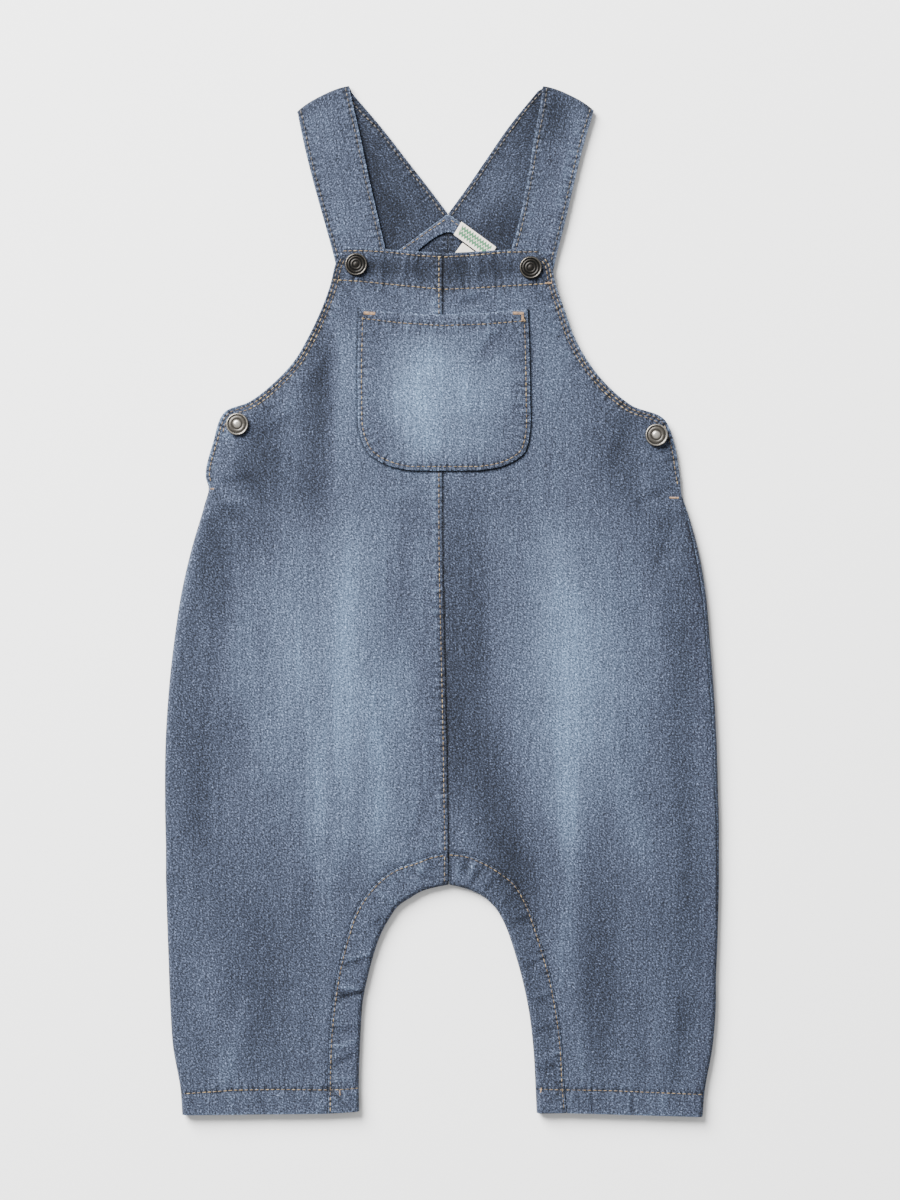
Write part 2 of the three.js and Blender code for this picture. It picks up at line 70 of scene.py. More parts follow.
# Grid spacing
FRONT_STEP = 1.25
BACK_STEP = 3.4
FINE_STEP = 1.1
STRAP_STEP = FINE_STEP * 1.3
ARC_STEP = 0.85

# Stitches
STITCH_PITCH = 2.8
STRAP_ROW_INSET = 2.1
LOOK_FROM = 20.0
SEED = 11

# Further than any finish looks for a seam or an edge
FAR = 20.0


class Side(Enum):
    """A side of the garment, as seen from above with the straps up."""

    LEFT = -1
    RIGHT = 1

    @property
    def word(self) -> str:
        """The side's name."""
        return self.name.lower()


class Sewn(Enum):
    """A kind of stitching: the thread's radius, a stitch's length and the pitch, in millimetres."""

    FINE = (0.25, 2.2, STITCH_PITCH)
    CHUNKY = (0.34, 2.1, STITCH_PITCH)
    SATIN = (0.20, 1.5, 0.42)

    @property
    def radius(self) -> float:
        """The thread's radius."""
        return self.value[0]

    @property
    def length(self) -> float:
        """The length of a stitch that shows."""
        return self.value[1]

    @property
    def pitch(self) -> float:
        """The distance from one stitch to the next."""
        return self.value[2]


class BodyRow(NamedTuple):
    """A section of the body: the centre seam's point and each side's edge."""

    seam_x: float
    seam_y: float
    left_x: float
    left_y: float
    right_x: float
    right_y: float


class LegRow(NamedTuple):
    """A section of a leg: the inner-leg seam, the fold of the band, and the side's edge."""

    seam_x: float
    seam_y: float
    fold_x: float
    fold_y: float
    edge_x: float
    edge_y: float


class Lay(NamedTuple):
    """How the side edge lies at a height of Y.

    Its level, the angles at which front and back stop on the rounded side, and how much
    further out the front's rounding starts, so that a free edge ends on the outline.
    """

    y: float
    top: float
    front_left: float
    back_left: float
    front_right: float
    back_right: float
    reach: float


class Fold(NamedTuple):
    """A soft swell or trough along a line, which dies away over its width."""

    x0: float
    y0: float
    x1: float
    y1: float
    width: float
    height: float


class Fade(NamedTuple):
    """A lighter or darker patch of colour: its centre, its half-sizes, its turn in degrees, its strength."""

    x: float
    y: float
    wide: float
    tall: float
    turn: float
    strength: float


BODY = [
    BodyRow(0.5, 185.2, -51.7, 188.9, 51.2, 187.9),
    BodyRow(0.5, 180.4, -56.5, 179.9, 57.6, 181.0),
    BodyRow(0.5, 171.4, -59.2, 169.2, 60.2, 169.8),
    BodyRow(0.5, 156.4, -64.5, 154.3, 65.0, 155.4),
    BodyRow(0.5, 142.6, -70.4, 141.5, 69.8, 141.5),
    BodyRow(0.5, 129.8, -77.8, 128.7, 76.8, 128.7),
    BodyRow(0.5, 118.1, -88.5, 117.0, 86.3, 116.5),
    BodyRow(0.5, 107.4, -102.3, 106.3, 100.2, 104.7),
    BodyRow(0.5, 97.8, -115.1, 101.0, 118.3, 96.7),
    BodyRow(0.5, 83.4, -121.5, 84.5, 123.7, 82.3),
    BodyRow(0.5, 66.8, -125.3, 66.2, 126.3, 66.8),
    BodyRow(0.5, 59.4, -123.7, 60.5, 128.2, 57.1),
    BodyRow(0.5, 47.7, -126.9, 49.8, 131.0, 47.1),
    BodyRow(0.6, 28.0, -133.4, 28.0, 136.4, 28.0),
    BodyRow(1.0, 4.0, -138.9, 4.0, 140.6, 4.0),
    BodyRow(1.6, -22.0, -142.8, -22.0, 142.9, -22.0),
    BodyRow(2.2, -48.0, -145.6, -48.0, 144.9, -48.0),
    BodyRow(2.8, -76.0, -147.3, -76.0, 146.4, -76.0),
    BodyRow(3.2, -104.0, -147.6, -104.0, 147.2, -104.0),
    BodyRow(3.6, -124.0, -147.4, -119.0, 147.6, -119.0),
]
BACK_TOP = [
    BodyRow(3.2, 206.6, -35.2, 178.4, 41.6, 178.4),
    BodyRow(3.2, 187.3, -43.7, 166.0, 49.0, 166.0),
    BodyRow(2.7, 166.0, -52.8, 151.1, 58.1, 151.1),
    BodyRow(2.1, 144.7, -64.0, 136.2, 66.1, 136.2),
    BodyRow(1.6, 126.1, -77.8, 122.9, 76.8, 122.9),
    BodyRow(1.4, 110.1, -94.9, 109.5, 91.7, 109.5),
    BodyRow(1.2, 96.7, -112.5, 98.3, 113.0, 96.7),
    BodyRow(1.0, 85.0, -119.9, 85.0, 122.1, 82.9),
    BodyRow(0.8, 66.8, -124.2, 66.2, 125.4, 66.8),
    BodyRow(0.6, 59.4, -124.0, 60.5, 127.6, 57.1),
]

# The back's first row of the body, then levels of Y: where the edges' rows of stitches start and stop,
# and from where the back shows its inside, which is darkened with painted shade
FIRST_SEWN_ROW = 12
OPENING_FOOT = 61.5
SECOND_ROW_FOOT = 90
BIB_ROW_LEVEL = 184
INSIDE_NECK = 170

# How far the right side seam lies from the edge at levels of Y, up to its top
SIDE_SEAM = [(-165, 0.9), (-60, 1.9), (40, 2.5)]
SIDE_SEAM_TOP = 42
LEGS = {
    Side.LEFT: [
        LegRow(3.7, -133.5, 3.7, -150.8, -147.1, -130.3),
        LegRow(-5.3, -135.1, -3.5, -152.2, -147.1, -139.5),
        LegRow(-14.9, -138.6, -10.7, -154.3, -147.1, -148.4),
        LegRow(-24.7, -142.0, -17.0, -157.9, -146.8, -157.0),
        LegRow(-33.0, -147.9, -23.5, -162.4, -146.6, -165.0),
        LegRow(-40.5, -156.2, -28.0, -168.8, -146.3, -173.5),
        LegRow(-46.4, -166.0, -32.0, -176.0, -146.0, -182.5),
        LegRow(-50.9, -179.4, -35.8, -186.2, -145.6, -192.5),
        LegRow(-54.6, -193.7, -39.2, -198.8, -145.3, -203.0),
        LegRow(-57.6, -211.3, -42.1, -213.0, -144.7, -216.5),
        LegRow(-59.7, -232.1, -43.5, -234.0, -143.4, -236.0),
        LegRow(-60.6, -259.8, -44.2, -258.8, -139.1, -261.4),
        LegRow(-60.6, -272.4, -44.0, -271.4, -138.3, -273.2),
    ],
    Side.RIGHT: [
        LegRow(3.7, -133.5, 3.7, -150.8, 147.6, -130.3),
        LegRow(12.8, -134.6, 9.0, -151.9, 147.6, -139.5),
        LegRow(22.4, -138.3, 15.5, -153.9, 147.6, -147.5),
        LegRow(31.4, -143.6, 22.3, -157.4, 147.5, -156.0),
        LegRow(39.2, -150.0, 28.0, -162.7, 147.3, -164.0),
        LegRow(44.8, -159.1, 32.0, -169.0, 147.0, -172.5),
        LegRow(49.0, -169.8, 35.3, -176.5, 146.8, -181.0),
        LegRow(53.8, -184.7, 40.1, -191.5, 146.4, -190.5),
        LegRow(58.1, -200.1, 43.4, -204.0, 146.0, -201.0),
        LegRow(61.8, -218.8, 46.7, -221.0, 145.9, -215.5),
        LegRow(64.0, -236.4, 48.6, -238.0, 144.3, -236.0),
        LegRow(65.3, -259.6, 49.8, -259.3, 139.8, -262.0),
        LegRow(66.4, -272.1, 50.4, -272.4, 138.8, -274.2),
    ],
}
SIDE_LAY = [
    Lay(300, 5.2, 70, -78, 70, -78, 1.8),
    Lay(165, 5.2, 70, -78, 70, -78, 1.8),
    Lay(138, 3.6, 64, -78, 64, -78, 2.0),
    Lay(67, 3.5, 60, -78, 60, -78, 1.8),
    Lay(58.5, 4.0, 24, -68, 62, -30, 0.8),
    Lay(48.5, LEG_HEIGHT, -35, -35, 60, 60, 0.0),
    Lay(25, LEG_HEIGHT, -35, -35, 84, 84, 0.0),
    Lay(-90, LEG_HEIGHT, -35, -35, 80, 80, 0.0),
    Lay(-150, LEG_HEIGHT, -35, -35, 50, 50, 0.0),
    Lay(-300, LEG_HEIGHT, -35, -35, 40, 40, 0.0),
]
MIDDLE_LEVEL = [(300, 5.2), (165, 5.2), (130, 4.6), (70, 4.9), (20, LEG_HEIGHT), (-300, LEG_HEIGHT)]

# The main swells and troughs of the front
RELIEF = [
    Fold(-25, 120, 25, 120, 60, 1.0),
    Fold(-70, -20, -62, -110, 55, 0.7),
    Fold(75, -20, 72, -110, 55, 0.7),
    Fold(-52, 46, -50, -130, 13, 0.6),
    Fold(66, 34, 70, -220, 13, 0.6),
    Fold(-74, 135, -72, 55, 14, -0.8),
    Fold(76, 110, 92, 60, 14, -0.7),
    Fold(16, 42, 22, -52, 14, -1.0),
    Fold(22, -52, 40, -128, 13, -1.1),
    Fold(-22, -40, -30, -120, 13, -0.6),
    Fold(-92, -150, -94, -250, 16, -1.0),
    Fold(86, -142, 88, -250, 15, -1.0),
    Fold(-112, 55, -106, 0, 13, -0.8),
    Fold(112, 40, 104, -30, 14, -0.7),
    Fold(-120, -120, -104, -60, 10, -0.6),
    Fold(122, -140, 108, -70, 11, -0.6),
    Fold(-76, -150, -82, -240, 9, 0.5),
    Fold(-120, -170, -118, -245, 10, 0.4),
    Fold(120, -165, 116, -245, 10, 0.4),
]

# Smaller creases of the front: round the bib, the sides and the hems
CREASES = [
    Fold(-38, 184, -36, 172, 1.8, -0.30),
    Fold(-29, 184, -28, 171, 2.2, -0.40),
    Fold(-20, 183, -21, 170, 1.8, 0.30),
    Fold(-12, 182, -12, 169, 2.2, -0.35),
    Fold(10, 182, 11, 170, 2.0, -0.40),
    Fold(19, 183, 17, 170, 2.2, 0.35),
    Fold(28, 184, 31, 171, 2.2, -0.45),
    Fold(38, 184, 37, 172, 1.6, -0.25),
    Fold(-41, 183, -30, 176, 1.5, -0.25),
    Fold(-36, 166, -24, 161, 2.5, -0.35),
    Fold(8, 162, 22, 166, 2.2, 0.40),
    Fold(9, 158, 20, 160, 2.2, -0.30),
    Fold(48, 168, 56, 158, 2.2, -0.40),
    Fold(-56, 160, -62, 140, 2.6, 0.30),
    Fold(-60, 128, -70, 112, 4.0, -0.35),
    Fold(-96, 88, -84, 97, 3.0, -0.45),
    Fold(-92, 92, -78, 108, 4.0, 0.40),
    Fold(-116, 63, -104, 66, 2.2, -0.45),
    Fold(-120, 52, -104, 54, 2.0, 0.40),
    Fold(-122, 56, -108, 44, 3.0, -0.50),
    Fold(-106, 72, -98, 58, 4.5, -0.40),
    Fold(98, 92, 92, 74, 4.0, -0.40),
    Fold(108, 66, 112, 48, 4.0, 0.45),
    Fold(117, 58, 105, 52, 2.6, -0.45),
    Fold(122, 44, 116, 22, 4.0, -0.40),
    Fold(118, 20, 112, -20, 5.0, 0.35),
    Fold(-108, -6, -118, -60, 7.0, 0.35),
    Fold(-128, -60, -130, -130, 6.0, -0.35),
    Fold(-96, 10, -92, -60, 8.0, -0.25),
    Fold(96, -90, 112, -150, 7.0, 0.30),
    Fold(130, -90, 132, -160, 6.0, -0.35),
    Fold(-64, -128, -74, -176, 6.0, -0.35),
    Fold(-50, -118, -60, -150, 5.0, 0.30),
    Fold(58, -120, 66, -160, 5.0, -0.30),
    Fold(-8, -104, -16, -132, 4.0, -0.30),
    Fold(-34, -100, -40, -136, 5.0, 0.30),
    Fold(8, -112, 14, -132, 4.0, 0.30),
    Fold(-104, -214, -114, -254, 5.0, 0.40),
    Fold(-72, -222, -74, -256, 4.0, -0.35),
    Fold(-128, -226, -126, -256, 4.0, -0.30),
    Fold(104, -206, 108, -256, 5.0, -0.35),
    Fold(74, -216, 76, -256, 4.0, 0.35),
    Fold(130, -214, 124, -256, 4.5, -0.40),
    Fold(-111.4, -262, -111.2, -273, 0.9, 0.35),
    Fold(-96, -262, -95, -272, 1.6, -0.30),
    Fold(-84, -261, -85, -272, 1.8, 0.25),
    Fold(-70, -261, -71, -272, 1.4, -0.25),
    Fold(79.6, -261, 80.2, -272, 0.9, -0.65),
    Fold(101.0, -261, 101.6, -273, 0.9, -0.65),
    Fold(118, -262, 118, -273, 1.8, 0.25),
]

# Creases of the inner-leg bands, which run across them
BAND_CREASES = [
    Fold(-36.4, -172.1, -30.9, -169.3, 1.5, -0.55),
    Fold(-50.1, -193.2, -37.8, -190.0, 1.4, -0.50),
    Fold(-50.0, -190.4, -38.6, -187.6, 1.3, 0.40),
    Fold(-56.2, -206.6, -51.0, -210.2, 1.1, -0.90),
    Fold(-51.0, -210.2, -41.9, -208.0, 1.0, -0.95),
    Fold(-55.0, -205.4, -44.0, -206.0, 1.3, 0.60),
    Fold(-55.8, -213.0, -50.0, -209.0, 1.3, -0.60),
    Fold(-57.4, -228.6, -45.0, -228.0, 1.6, -0.45),
    Fold(-57.6, -238.0, -46.0, -233.5, 1.4, 0.40),
    Fold(-57.6, -247.0, -46.0, -241.0, 1.6, -0.50),
    Fold(-57.8, -255.0, -46.0, -253.0, 1.4, 0.35),
    Fold(-17.1, -144.5, -1.5, -149.1, 1.5, -0.50),
    Fold(-5.6, -134.5, -5.6, -145.5, 1.2, -0.55),
    Fold(-10.5, -138.5, -13.0, -150.0, 1.5, 0.40),
    Fold(-24.0, -146.5, -19.5, -153.0, 1.5, -0.35),
    Fold(-33.0, -155.0, -25.0, -160.0, 1.6, 0.35),
    Fold(4.5, -135.4, 5.3, -149.1, 1.0, -0.70),
    Fold(12.7, -136.4, 12.3, -145.5, 1.2, -0.60),
    Fold(8.6, -136.0, 8.6, -147.0, 1.3, 0.40),
    Fold(21.4, -141.8, 15.9, -151.0, 1.2, -0.60),
    Fold(17.4, -139.0, 14.0, -148.0, 1.2, 0.35),
    Fold(30.0, -146.4, 24.0, -154.0, 1.4, -0.40),
    Fold(37.5, -152.5, 30.5, -160.0, 1.6, 0.35),
    Fold(46.0, -168.0, 38.0, -172.0, 1.8, -0.35),
    Fold(51.7, -213.4, 60.0, -210.6, 1.3, -0.60),
    Fold(50.0, -209.6, 58.0, -207.0, 1.4, 0.35),
    Fold(50.4, -192.0, 44.0, -195.0, 1.6, -0.35),
    Fold(51.0, -229.0, 61.0, -226.6, 1.5, -0.40),
    Fold(52.0, -244.0, 61.5, -240.0, 1.5, 0.40),
    Fold(53.0, -250.0, 62.0, -247.4, 1.4, -0.45),
]

# How washed each piece is by itself, the inside faces seen in the neck darkened with painted shade, and how
# much paler a raised place is and darker a trough: partly rubbed wear, partly painted light and shade
PIECE_FADE_AND_SHADE = {
    "front": -0.08,
    "back": -0.30,
    "back_inside": -0.85,
    "band": -0.14,
    "strap": -0.22,
    "back_run": -0.85,
    "pocket": -0.30,
    "facing": -0.14,
}
RELIEF_WEAR_AND_SHADE = 0.85

# Lighter and darker patches of the front, which the pocket and the bands share: washed fading, with painted
# shade in the troughs of the folds and beside the side edges, painted light on the folds' ridges, and a
# painted shadow under the pocket.
# The first ones, on the thighs, are on the back too.
THIGH_FADES = 6
FADES_AND_SHADE = [
    Fade(-66, -44, 35, 66, 4, 0.46),
    Fade(-51, -46, 9, 70, 0, 0.50),
    Fade(-92, -30, 22, 48, -4, 0.25),
    Fade(72, -42, 30, 66, -3, 0.72),
    Fade(67, -30, 9, 52, 0, 0.25),
    Fade(67, -150, 7, 70, 0, 0.28),
    Fade(-8, 106, 21, 34, 0, 0.50),
    Fade(20, 110, 16, 30, 10, 0.28),
    Fade(-3, 110, 37, 36, 0, 0.67),
    Fade(-53, 120, 9, 45, 0, 0.35),
    Fade(62, 134, 12, 42, 0, 0.25),
    Fade(-30, 34, 34, 44, 0, 0.24),
    Fade(18, -6, 8, 56, 1, -0.58),
    Fade(26, -98, 15, 46, 13, -0.62),
    Fade(39, -146, 14, 26, 8, -0.72),
    Fade(-68, 97, 7, 50, 0, -0.60),
    Fade(-92, 75, 14, 26, 30, -0.35),
    Fade(-122, 22, 11, 46, 10, -0.55),
    Fade(-66, 56, 16, 16, 0, -0.28),
    Fade(-84, 84, 7, 30, 8, 0.25),
    Fade(-26, -4, 9, 42, -10, -0.25),
    Fade(-134, -50, 14, 90, 3, -0.30),
    Fade(-94, 82, 14, 26, 0, -0.40),
    Fade(94, 84, 16, 34, 0, -0.45),
    Fade(130, -20, 10, 90, -4, -0.42),
    Fade(-92, -205, 20, 55, 0, -0.50),
    Fade(-120, -150, 16, 40, 0, -0.20),
    Fade(84, -200, 14, 60, 0, -0.55),
    Fade(130, -185, 12, 60, 0, -0.35),
    Fade(0, 177.5, 60, 8, 0, -0.95),
    Fade(-20, -118, 16, 30, 0, 0.26),
    Fade(50, -215, 9, 50, 8, -0.30),
    Fade(3, -28, 8, 92, 0, -0.58),
    Fade(-22, -50, 8, 32, 0, 0.42),
    Fade(-34, -68, 8, 66, 0, 0.50),
    Fade(-66, -114, 6, 38, 0, 0.60),
    Fade(57, 18, 11, 34, 0, 0.30),
    Fade(67, -108, 10, 30, 0, 0.38),
    Fade(116, 8, 8, 30, 0, -0.40),
    Fade(110, 54, 16, 18, 0, -0.30),
    Fade(10, -72, 6, 50, 0, -0.22),
    Fade(-101, 42, 13, 22, 0, -0.42),
    Fade(-118, -48, 8, 28, 0, -0.34),
    Fade(110, -170, 10, 36, 0, -0.22),
    Fade(-16, 46, 10, 14, 0, -0.25),
    Fade(-76, -226, 5, 24, 0, 0.30),
    Fade(-48, 16, 10, 26, 0, 0.25),
    Fade(-108, -74, 7, 22, 0, -0.28),
    Fade(-61, 120, 5, 40, 0, -0.62),
    Fade(-112, 93, 9, 9, 0, 0.42),
    Fade(-87, 106, 9, 16, 0, -0.30),
    Fade(-51, 158, 5, 12, 0, -0.40),
    Fade(6, 166, 16, 6, 0, -0.35),
    Fade(-5, 132, 10, 14, 0, 0.24),
    Fade(34, 122, 8, 18, 0, 0.32),
    Fade(6, 82, 26, 9, 0, 0.28),
    Fade(-24, 66, 12, 6, 0, -0.25),
]


class StrapRow(NamedTuple):
    """A section of a strap: the points of its outer and its inner edge."""

    out_x: float
    out_y: float
    in_x: float
    in_y: float


@dataclass(frozen=True)
class StrapRoute:
    """The way of a strap: the back run from its seam, the fold, and the front run."""

    back: list[StrapRow]
    crease: StrapRow
    front: list[StrapRow]


STRAPS = {
    Side.LEFT: StrapRoute(
        back=[
            StrapRow(-35.2, 178.7, 3.0, 206.9),
            StrapRow(-38.8, 196.0, -6.0, 218.9),
            StrapRow(-45.0, 213.0, -18.0, 234.3),
            StrapRow(-59.0, 236.0, -32.0, 252.3),
            StrapRow(-75.9, 257.3, -48.2, 271.3),
        ],
        crease=StrapRow(-77.3, 260.9, -49.6, 274.8),
        front=[
            StrapRow(-76.4, 257.6, -48.9, 271.4),
            StrapRow(-72.9, 241.0, -43.5, 247.5),
            StrapRow(-67.8, 221.0, -38.2, 222.5),
            StrapRow(-62.3, 201.0, -33.1, 200.5),
            StrapRow(-57.9, 185.0, -30.0, 187.0),
            StrapRow(-53.6, 166.0, -25.5, 166.0),
        ],
    ),
    Side.RIGHT: StrapRoute(
        back=[
            StrapRow(41.6, 178.7, 3.4, 206.9),
            StrapRow(44.6, 196.0, 12.2, 218.9),
            StrapRow(50.5, 213.0, 23.2, 235.0),
            StrapRow(63.5, 236.0, 35.8, 253.2),
            StrapRow(78.7, 258.6, 51.2, 272.2),
        ],
        crease=StrapRow(81.0, 261.6, 54.0, 274.7),
        front=[
            StrapRow(80.0, 258.4, 53.7, 271.2),
            StrapRow(75.4, 243.0, 49.5, 248.0),
            StrapRow(70.2, 222.0, 45.3, 223.0),
            StrapRow(65.3, 201.0, 40.8, 201.0),
            StrapRow(61.2, 185.0, 37.0, 187.0),
            StrapRow(57.0, 166.0, 32.6, 166.0),
        ],
    ),
}

# What a strap's front run rests on at levels of Y: the back under the bib, then its own back run
RUN_GAP = 0.25
STRAP_SEAT = [(186, LAYER_GAP + DENIM), (206, 1.75), (240, STRAP_CLOTH + RUN_GAP)]

# Soft folds along the straps' front runs, seen from above; lighter and darker patches on the front runs, with
# painted light on the folds' ridges and painted shade in their troughs; and patches on the back runs, mostly
# painted shadow beside the front runs' inner edges, with a few paler ones
STRAP_FOLDS = [
    Fold(-62, 255, -50, 205, 5.0, 0.20),
    Fold(-68, 235, -60, 190, 4.0, -0.20),
    Fold(-52, 250, -42, 200, 4.0, -0.15),
    Fold(60, 268, 56, 240, 4.5, -0.45),
    Fold(56, 240, 52, 205, 3.5, -0.30),
    Fold(66, 250, 60, 195, 3.5, 0.35),
    Fold(62, 215, 54, 190, 3.0, -0.30),
]
STRAP_FADES_AND_SHADE = [
    Fade(-66, 250, 12, 16, 0, 0.25),
    Fade(-50, 204, 9, 22, 10, 0.25),
    Fade(61, 262, 7, 14, 0, -0.80),
    Fade(58, 240, 5, 16, 0, -0.35),
    Fade(69, 236, 5, 30, -12, 0.35),
    Fade(50, 200, 5, 18, -10, 0.15),
]
BACK_RUN_FADES_AND_SHADOWS = [
    Fade(-38, 214, 8, 34, 16, -0.80),
    Fade(-18, 197, 16, 10, 0, 0.10),
    Fade(34, 196, 14, 14, 0, -0.25),
    Fade(44, 232, 8, 34, -16, -0.15),
    Fade(53, 268, 5, 8, 0, -0.60),
    Fade(22, 222, 10, 12, 0, 0.15),
    Fade(34, 224, 12, 22, -30, 0.45),
    Fade(-29, 206, 9, 9, 0, -0.50),
    Fade(16, 208, 6, 7, 0, 0.40),
]


class PocketRow(NamedTuple):
    """A section of the bib pocket's outline."""

    y: float
    left_x: float
    right_x: float


POCKET = [
    PocketRow(155.8, -44.0, 45.6),
    PocketRow(140.0, -44.5, 46.3),
    PocketRow(123.4, -44.8, 46.7),
    PocketRow(107.0, -44.7, 46.9),
    PocketRow(91.4, -44.0, 46.9),
    PocketRow(84.5, -42.0, 45.8),
    PocketRow(79.0, -38.9, 43.7),
    PocketRow(74.8, -33.5, 38.5),
    PocketRow(71.6, -26.0, 31.0),
    PocketRow(69.6, -17.0, 20.0),
]
POCKET_MOUTH_SAG = 3.3
POCKET_PUFF = 0.5
POCKET_CREASES = [
    Fold(33, 144, 20, 128, 3.0, -0.30),
    Fold(28, 146, 16, 134, 2.5, 0.20),
    Fold(-34, 96, -20, 78, 4.0, -0.20),
    Fold(-20, 140, -16, 90, 8.0, 0.15),
    Fold(4, 140, 6, 80, 7.0, -0.15),
    Fold(-39.5, 155, -39.0, 148, 1.0, -0.30),
    Fold(-31.5, 154, -31.0, 147, 0.9, 0.30),
    Fold(-24, 154, -24, 147, 1.1, -0.25),
    Fold(-14, 153, -14, 146, 1.1, 0.22),
    Fold(-5, 153, -6, 146, 1.2, -0.22),
    Fold(6, 153, 7, 146, 1.2, 0.22),
    Fold(15, 153, 15, 146, 1.1, -0.25),
    Fold(24, 154, 23, 147, 1.1, 0.25),
    Fold(31, 155, 31, 148, 1.0, -0.28),
    Fold(-20, 143, 12, 142, 1.4, -0.25),
    Fold(8, 141, 30, 144, 1.3, 0.25),
]

# Rows of topstitching that don't run beside an edge
SEWN_ROWS = {
    Side.LEFT: {
        "hem": [(-139.0, -262.0), (-125, -261.0), (-110.3, -259.9), (-85, -259.6), (-61.2, -259.8)],
        "bib_top": [(-53.0, 186.4), (-44, 186.6), (-31.0, 186.0), (-14, 184.1), (-0.2, 183.2)],
        "bib_low": [(-58.4, 171.2), (-43.7, 170.3), (-22.4, 168.2), (0.0, 166.0)],
        "band_hem": [(-60.2, -259.8), (-52, -259.5), (-44.6, -258.9)],
        "band_centre": [(1.5, -135.2), (1.4, -149.6)],
    },
    Side.RIGHT: {
        "hem": [(65.9, -259.8), (91.7, -260.3), (115, -261.3), (138.8, -262.3)],
        "bib_top": [(0.9, 183.2), (16, 184.0), (34.0, 185.8), (52.0, 186.0)],
        "bib_low": [(1.0, 166.0), (16, 166.6), (30.9, 167.6), (57.5, 169.2)],
        "band_hem": [(51.2, -259.4), (58, -259.6), (65.3, -259.8)],
    },
}
POCKET_HEM = [(-43.2, 150.6), (-22.0, 148.0), (0.5, 146.6), (23.0, 147.4), (44.8, 149.2)]
FACING_ROWS = {
    "left": [(-21.0, 187.4), (-9.0, 196.0), (1.6, 203.4)],
    "right": [(4.6, 203.3), (9.6, 199.8)],
}
# The gap between the bands' halves, darkened as a painted shade line; then the top of the turned hem
CROTCH_SEAM = [(3.5, -134.0), (3.5, -150.0)]
HEM_LINE = [(44, -258.9), (66, -259.7), (92, -260.0), (140, -262.0)]


class Tack(NamedTuple):
    """A bar tack or a thread's knot: its cloth, its name, its two ends and its width."""

    cloth: str
    name: str
    x0: float
    y0: float
    x1: float
    y1: float
    width: float


TACKS = [
    Tack("pocket", "tack_pocket_left", -41.6, 153.3, -35.4, 153.0, 1.9),
    Tack("pocket", "tack_pocket_right", 37.6, 153.2, 43.6, 153.1, 1.8),
    Tack("pocket", "tack_pocket_corner", 43.0, 152.2, 42.9, 149.0, 1.6),
    Tack("front_left", "tack_side_left", -123.6, 59.9, -121.2, 60.0, 1.0),
    Tack("front_right", "tack_side_right", 121.0, 55.2, 126.0, 55.2, 1.0),
    Tack("front_right", "tack_bib_right", 54.9, 169.2, 58.6, 169.5, 1.1),
    Tack("band_left", "knot_hem_left", -54.4, -259.9, -54.1, -262.6, 0.6),
    Tack("band_right", "knot_hem_right", 53.0, -258.6, 52.4, -261.2, 0.7),
]

# The facing's points of X, of its upper and of its lower edge
NECK_FACING = [
    (-24.6, 186.2, 178.0),
    (-17.0, 191.8, 183.0),
    (-9.0, 197.7, 190.0),
    (-2.0, 202.8, 194.8),
    (3.2, 206.2, 196.6),
    (9.0, 202.3, 194.4),
    (16.0, 197.1, 189.6),
    (24.0, 191.2, 184.0),
    (31.4, 185.8, 178.0),
]


def smooth_step(value: Array | float) -> Array | float:
    """A rise from 0 to 1 that starts and ends softly."""
    t = np.clip(value, 0.0, 1.0)
    return t * t * (3 - 2 * t)


def bell(away: Array, reach: float) -> Array:
    """A soft hump: 1 at 0, dying away over a reach."""
    return np.exp(-((away / reach) ** 2))


def unit(vectors: Array) -> Array:
    """Vectors made 1 long."""
    return vectors / np.linalg.norm(vectors, axis=-1, keepdims=True)


def walked_along(path: Array) -> Array:
    """The length along a path at each of its points."""
    return np.concatenate([[0.0], np.cumsum(np.linalg.norm(np.diff(path, axis=0), axis=1))])


def through(knots: Array | list, step: float) -> Array:
    """Rows on a smooth curve through rows of knots.

    Args:
        knots: One row for each knot, with the X and Y of one or more points in turn.
        step: The most that a point may move from one row to the next.

    Returns:
        The denser rows, with the first and the last knot at the ends.
    """
    knots = np.array(knots)
    moves = np.diff(knots, axis=0).reshape(len(knots) - 1, -1, 2)
    lengths = np.linalg.norm(moves, axis=2).max(axis=1)
    times = np.concatenate([[0.0], np.cumsum(lengths)])
    at = np.linspace(0.0, times[-1], max(2, math.ceil(times[-1] / step) + 1))
    slopes = np.gradient(knots, times, axis=0)
    k = np.clip(np.searchsorted(times, at, side="right") - 1, 0, len(times) - 2)
    span = (times[k + 1] - times[k])[:, None]
    t = (at - times[k])[:, None] / span
    start = (2 * t**3 - 3 * t**2 + 1) * knots[k] + (t**3 - 2 * t**2 + t) * span * slopes[k]
    end = (3 * t**2 - 2 * t**3) * knots[k + 1] + (t**3 - t**2) * span * slopes[k + 1]
    return start + end


def beside(path: Array, distance: float) -> Array:
    """A path moved sideways, to its right as it runs, with its corners mitred."""
    along = unit(np.diff(path, axis=0))
    normals = np.stack([along[:, 1], -along[:, 0]], axis=1)
    before = np.vstack([normals[:1], normals])
    after = np.vstack([normals, normals[-1:]])
    scale = distance / np.maximum(1 + (before * after).sum(axis=1), 0.3)
    return path + (before + after) * scale[:, None]


def near(points: Array, path: Array) -> tuple[Array, Array]:
    """How far each point lies from a path, and how far along the path that is.

    Args:
        points: Points of the plan.
        path: The path's own points.

    Returns:
        The distances, negative on the path's right as it runs, and the lengths along it.
    """
    best = np.full(len(points), 1e9)
    along = np.zeros(len(points))
    walked = 0.0
    for a, b in zip(path[:-1], path[1:]):
        leg = b - a
        length = float(np.linalg.norm(leg))
        offset = points - a
        t = np.clip((offset @ leg) / length**2, 0, 1)
        away = np.linalg.norm(offset - t[:, None] * leg, axis=1)
        closer = away < np.abs(best)
        left = leg[0] * offset[:, 1] - leg[1] * offset[:, 0] >= 0
        best[closer] = np.where(left, away, -away)[closer]
        along[closer] = walked + t[closer] * length
        walked += length
    return best, along


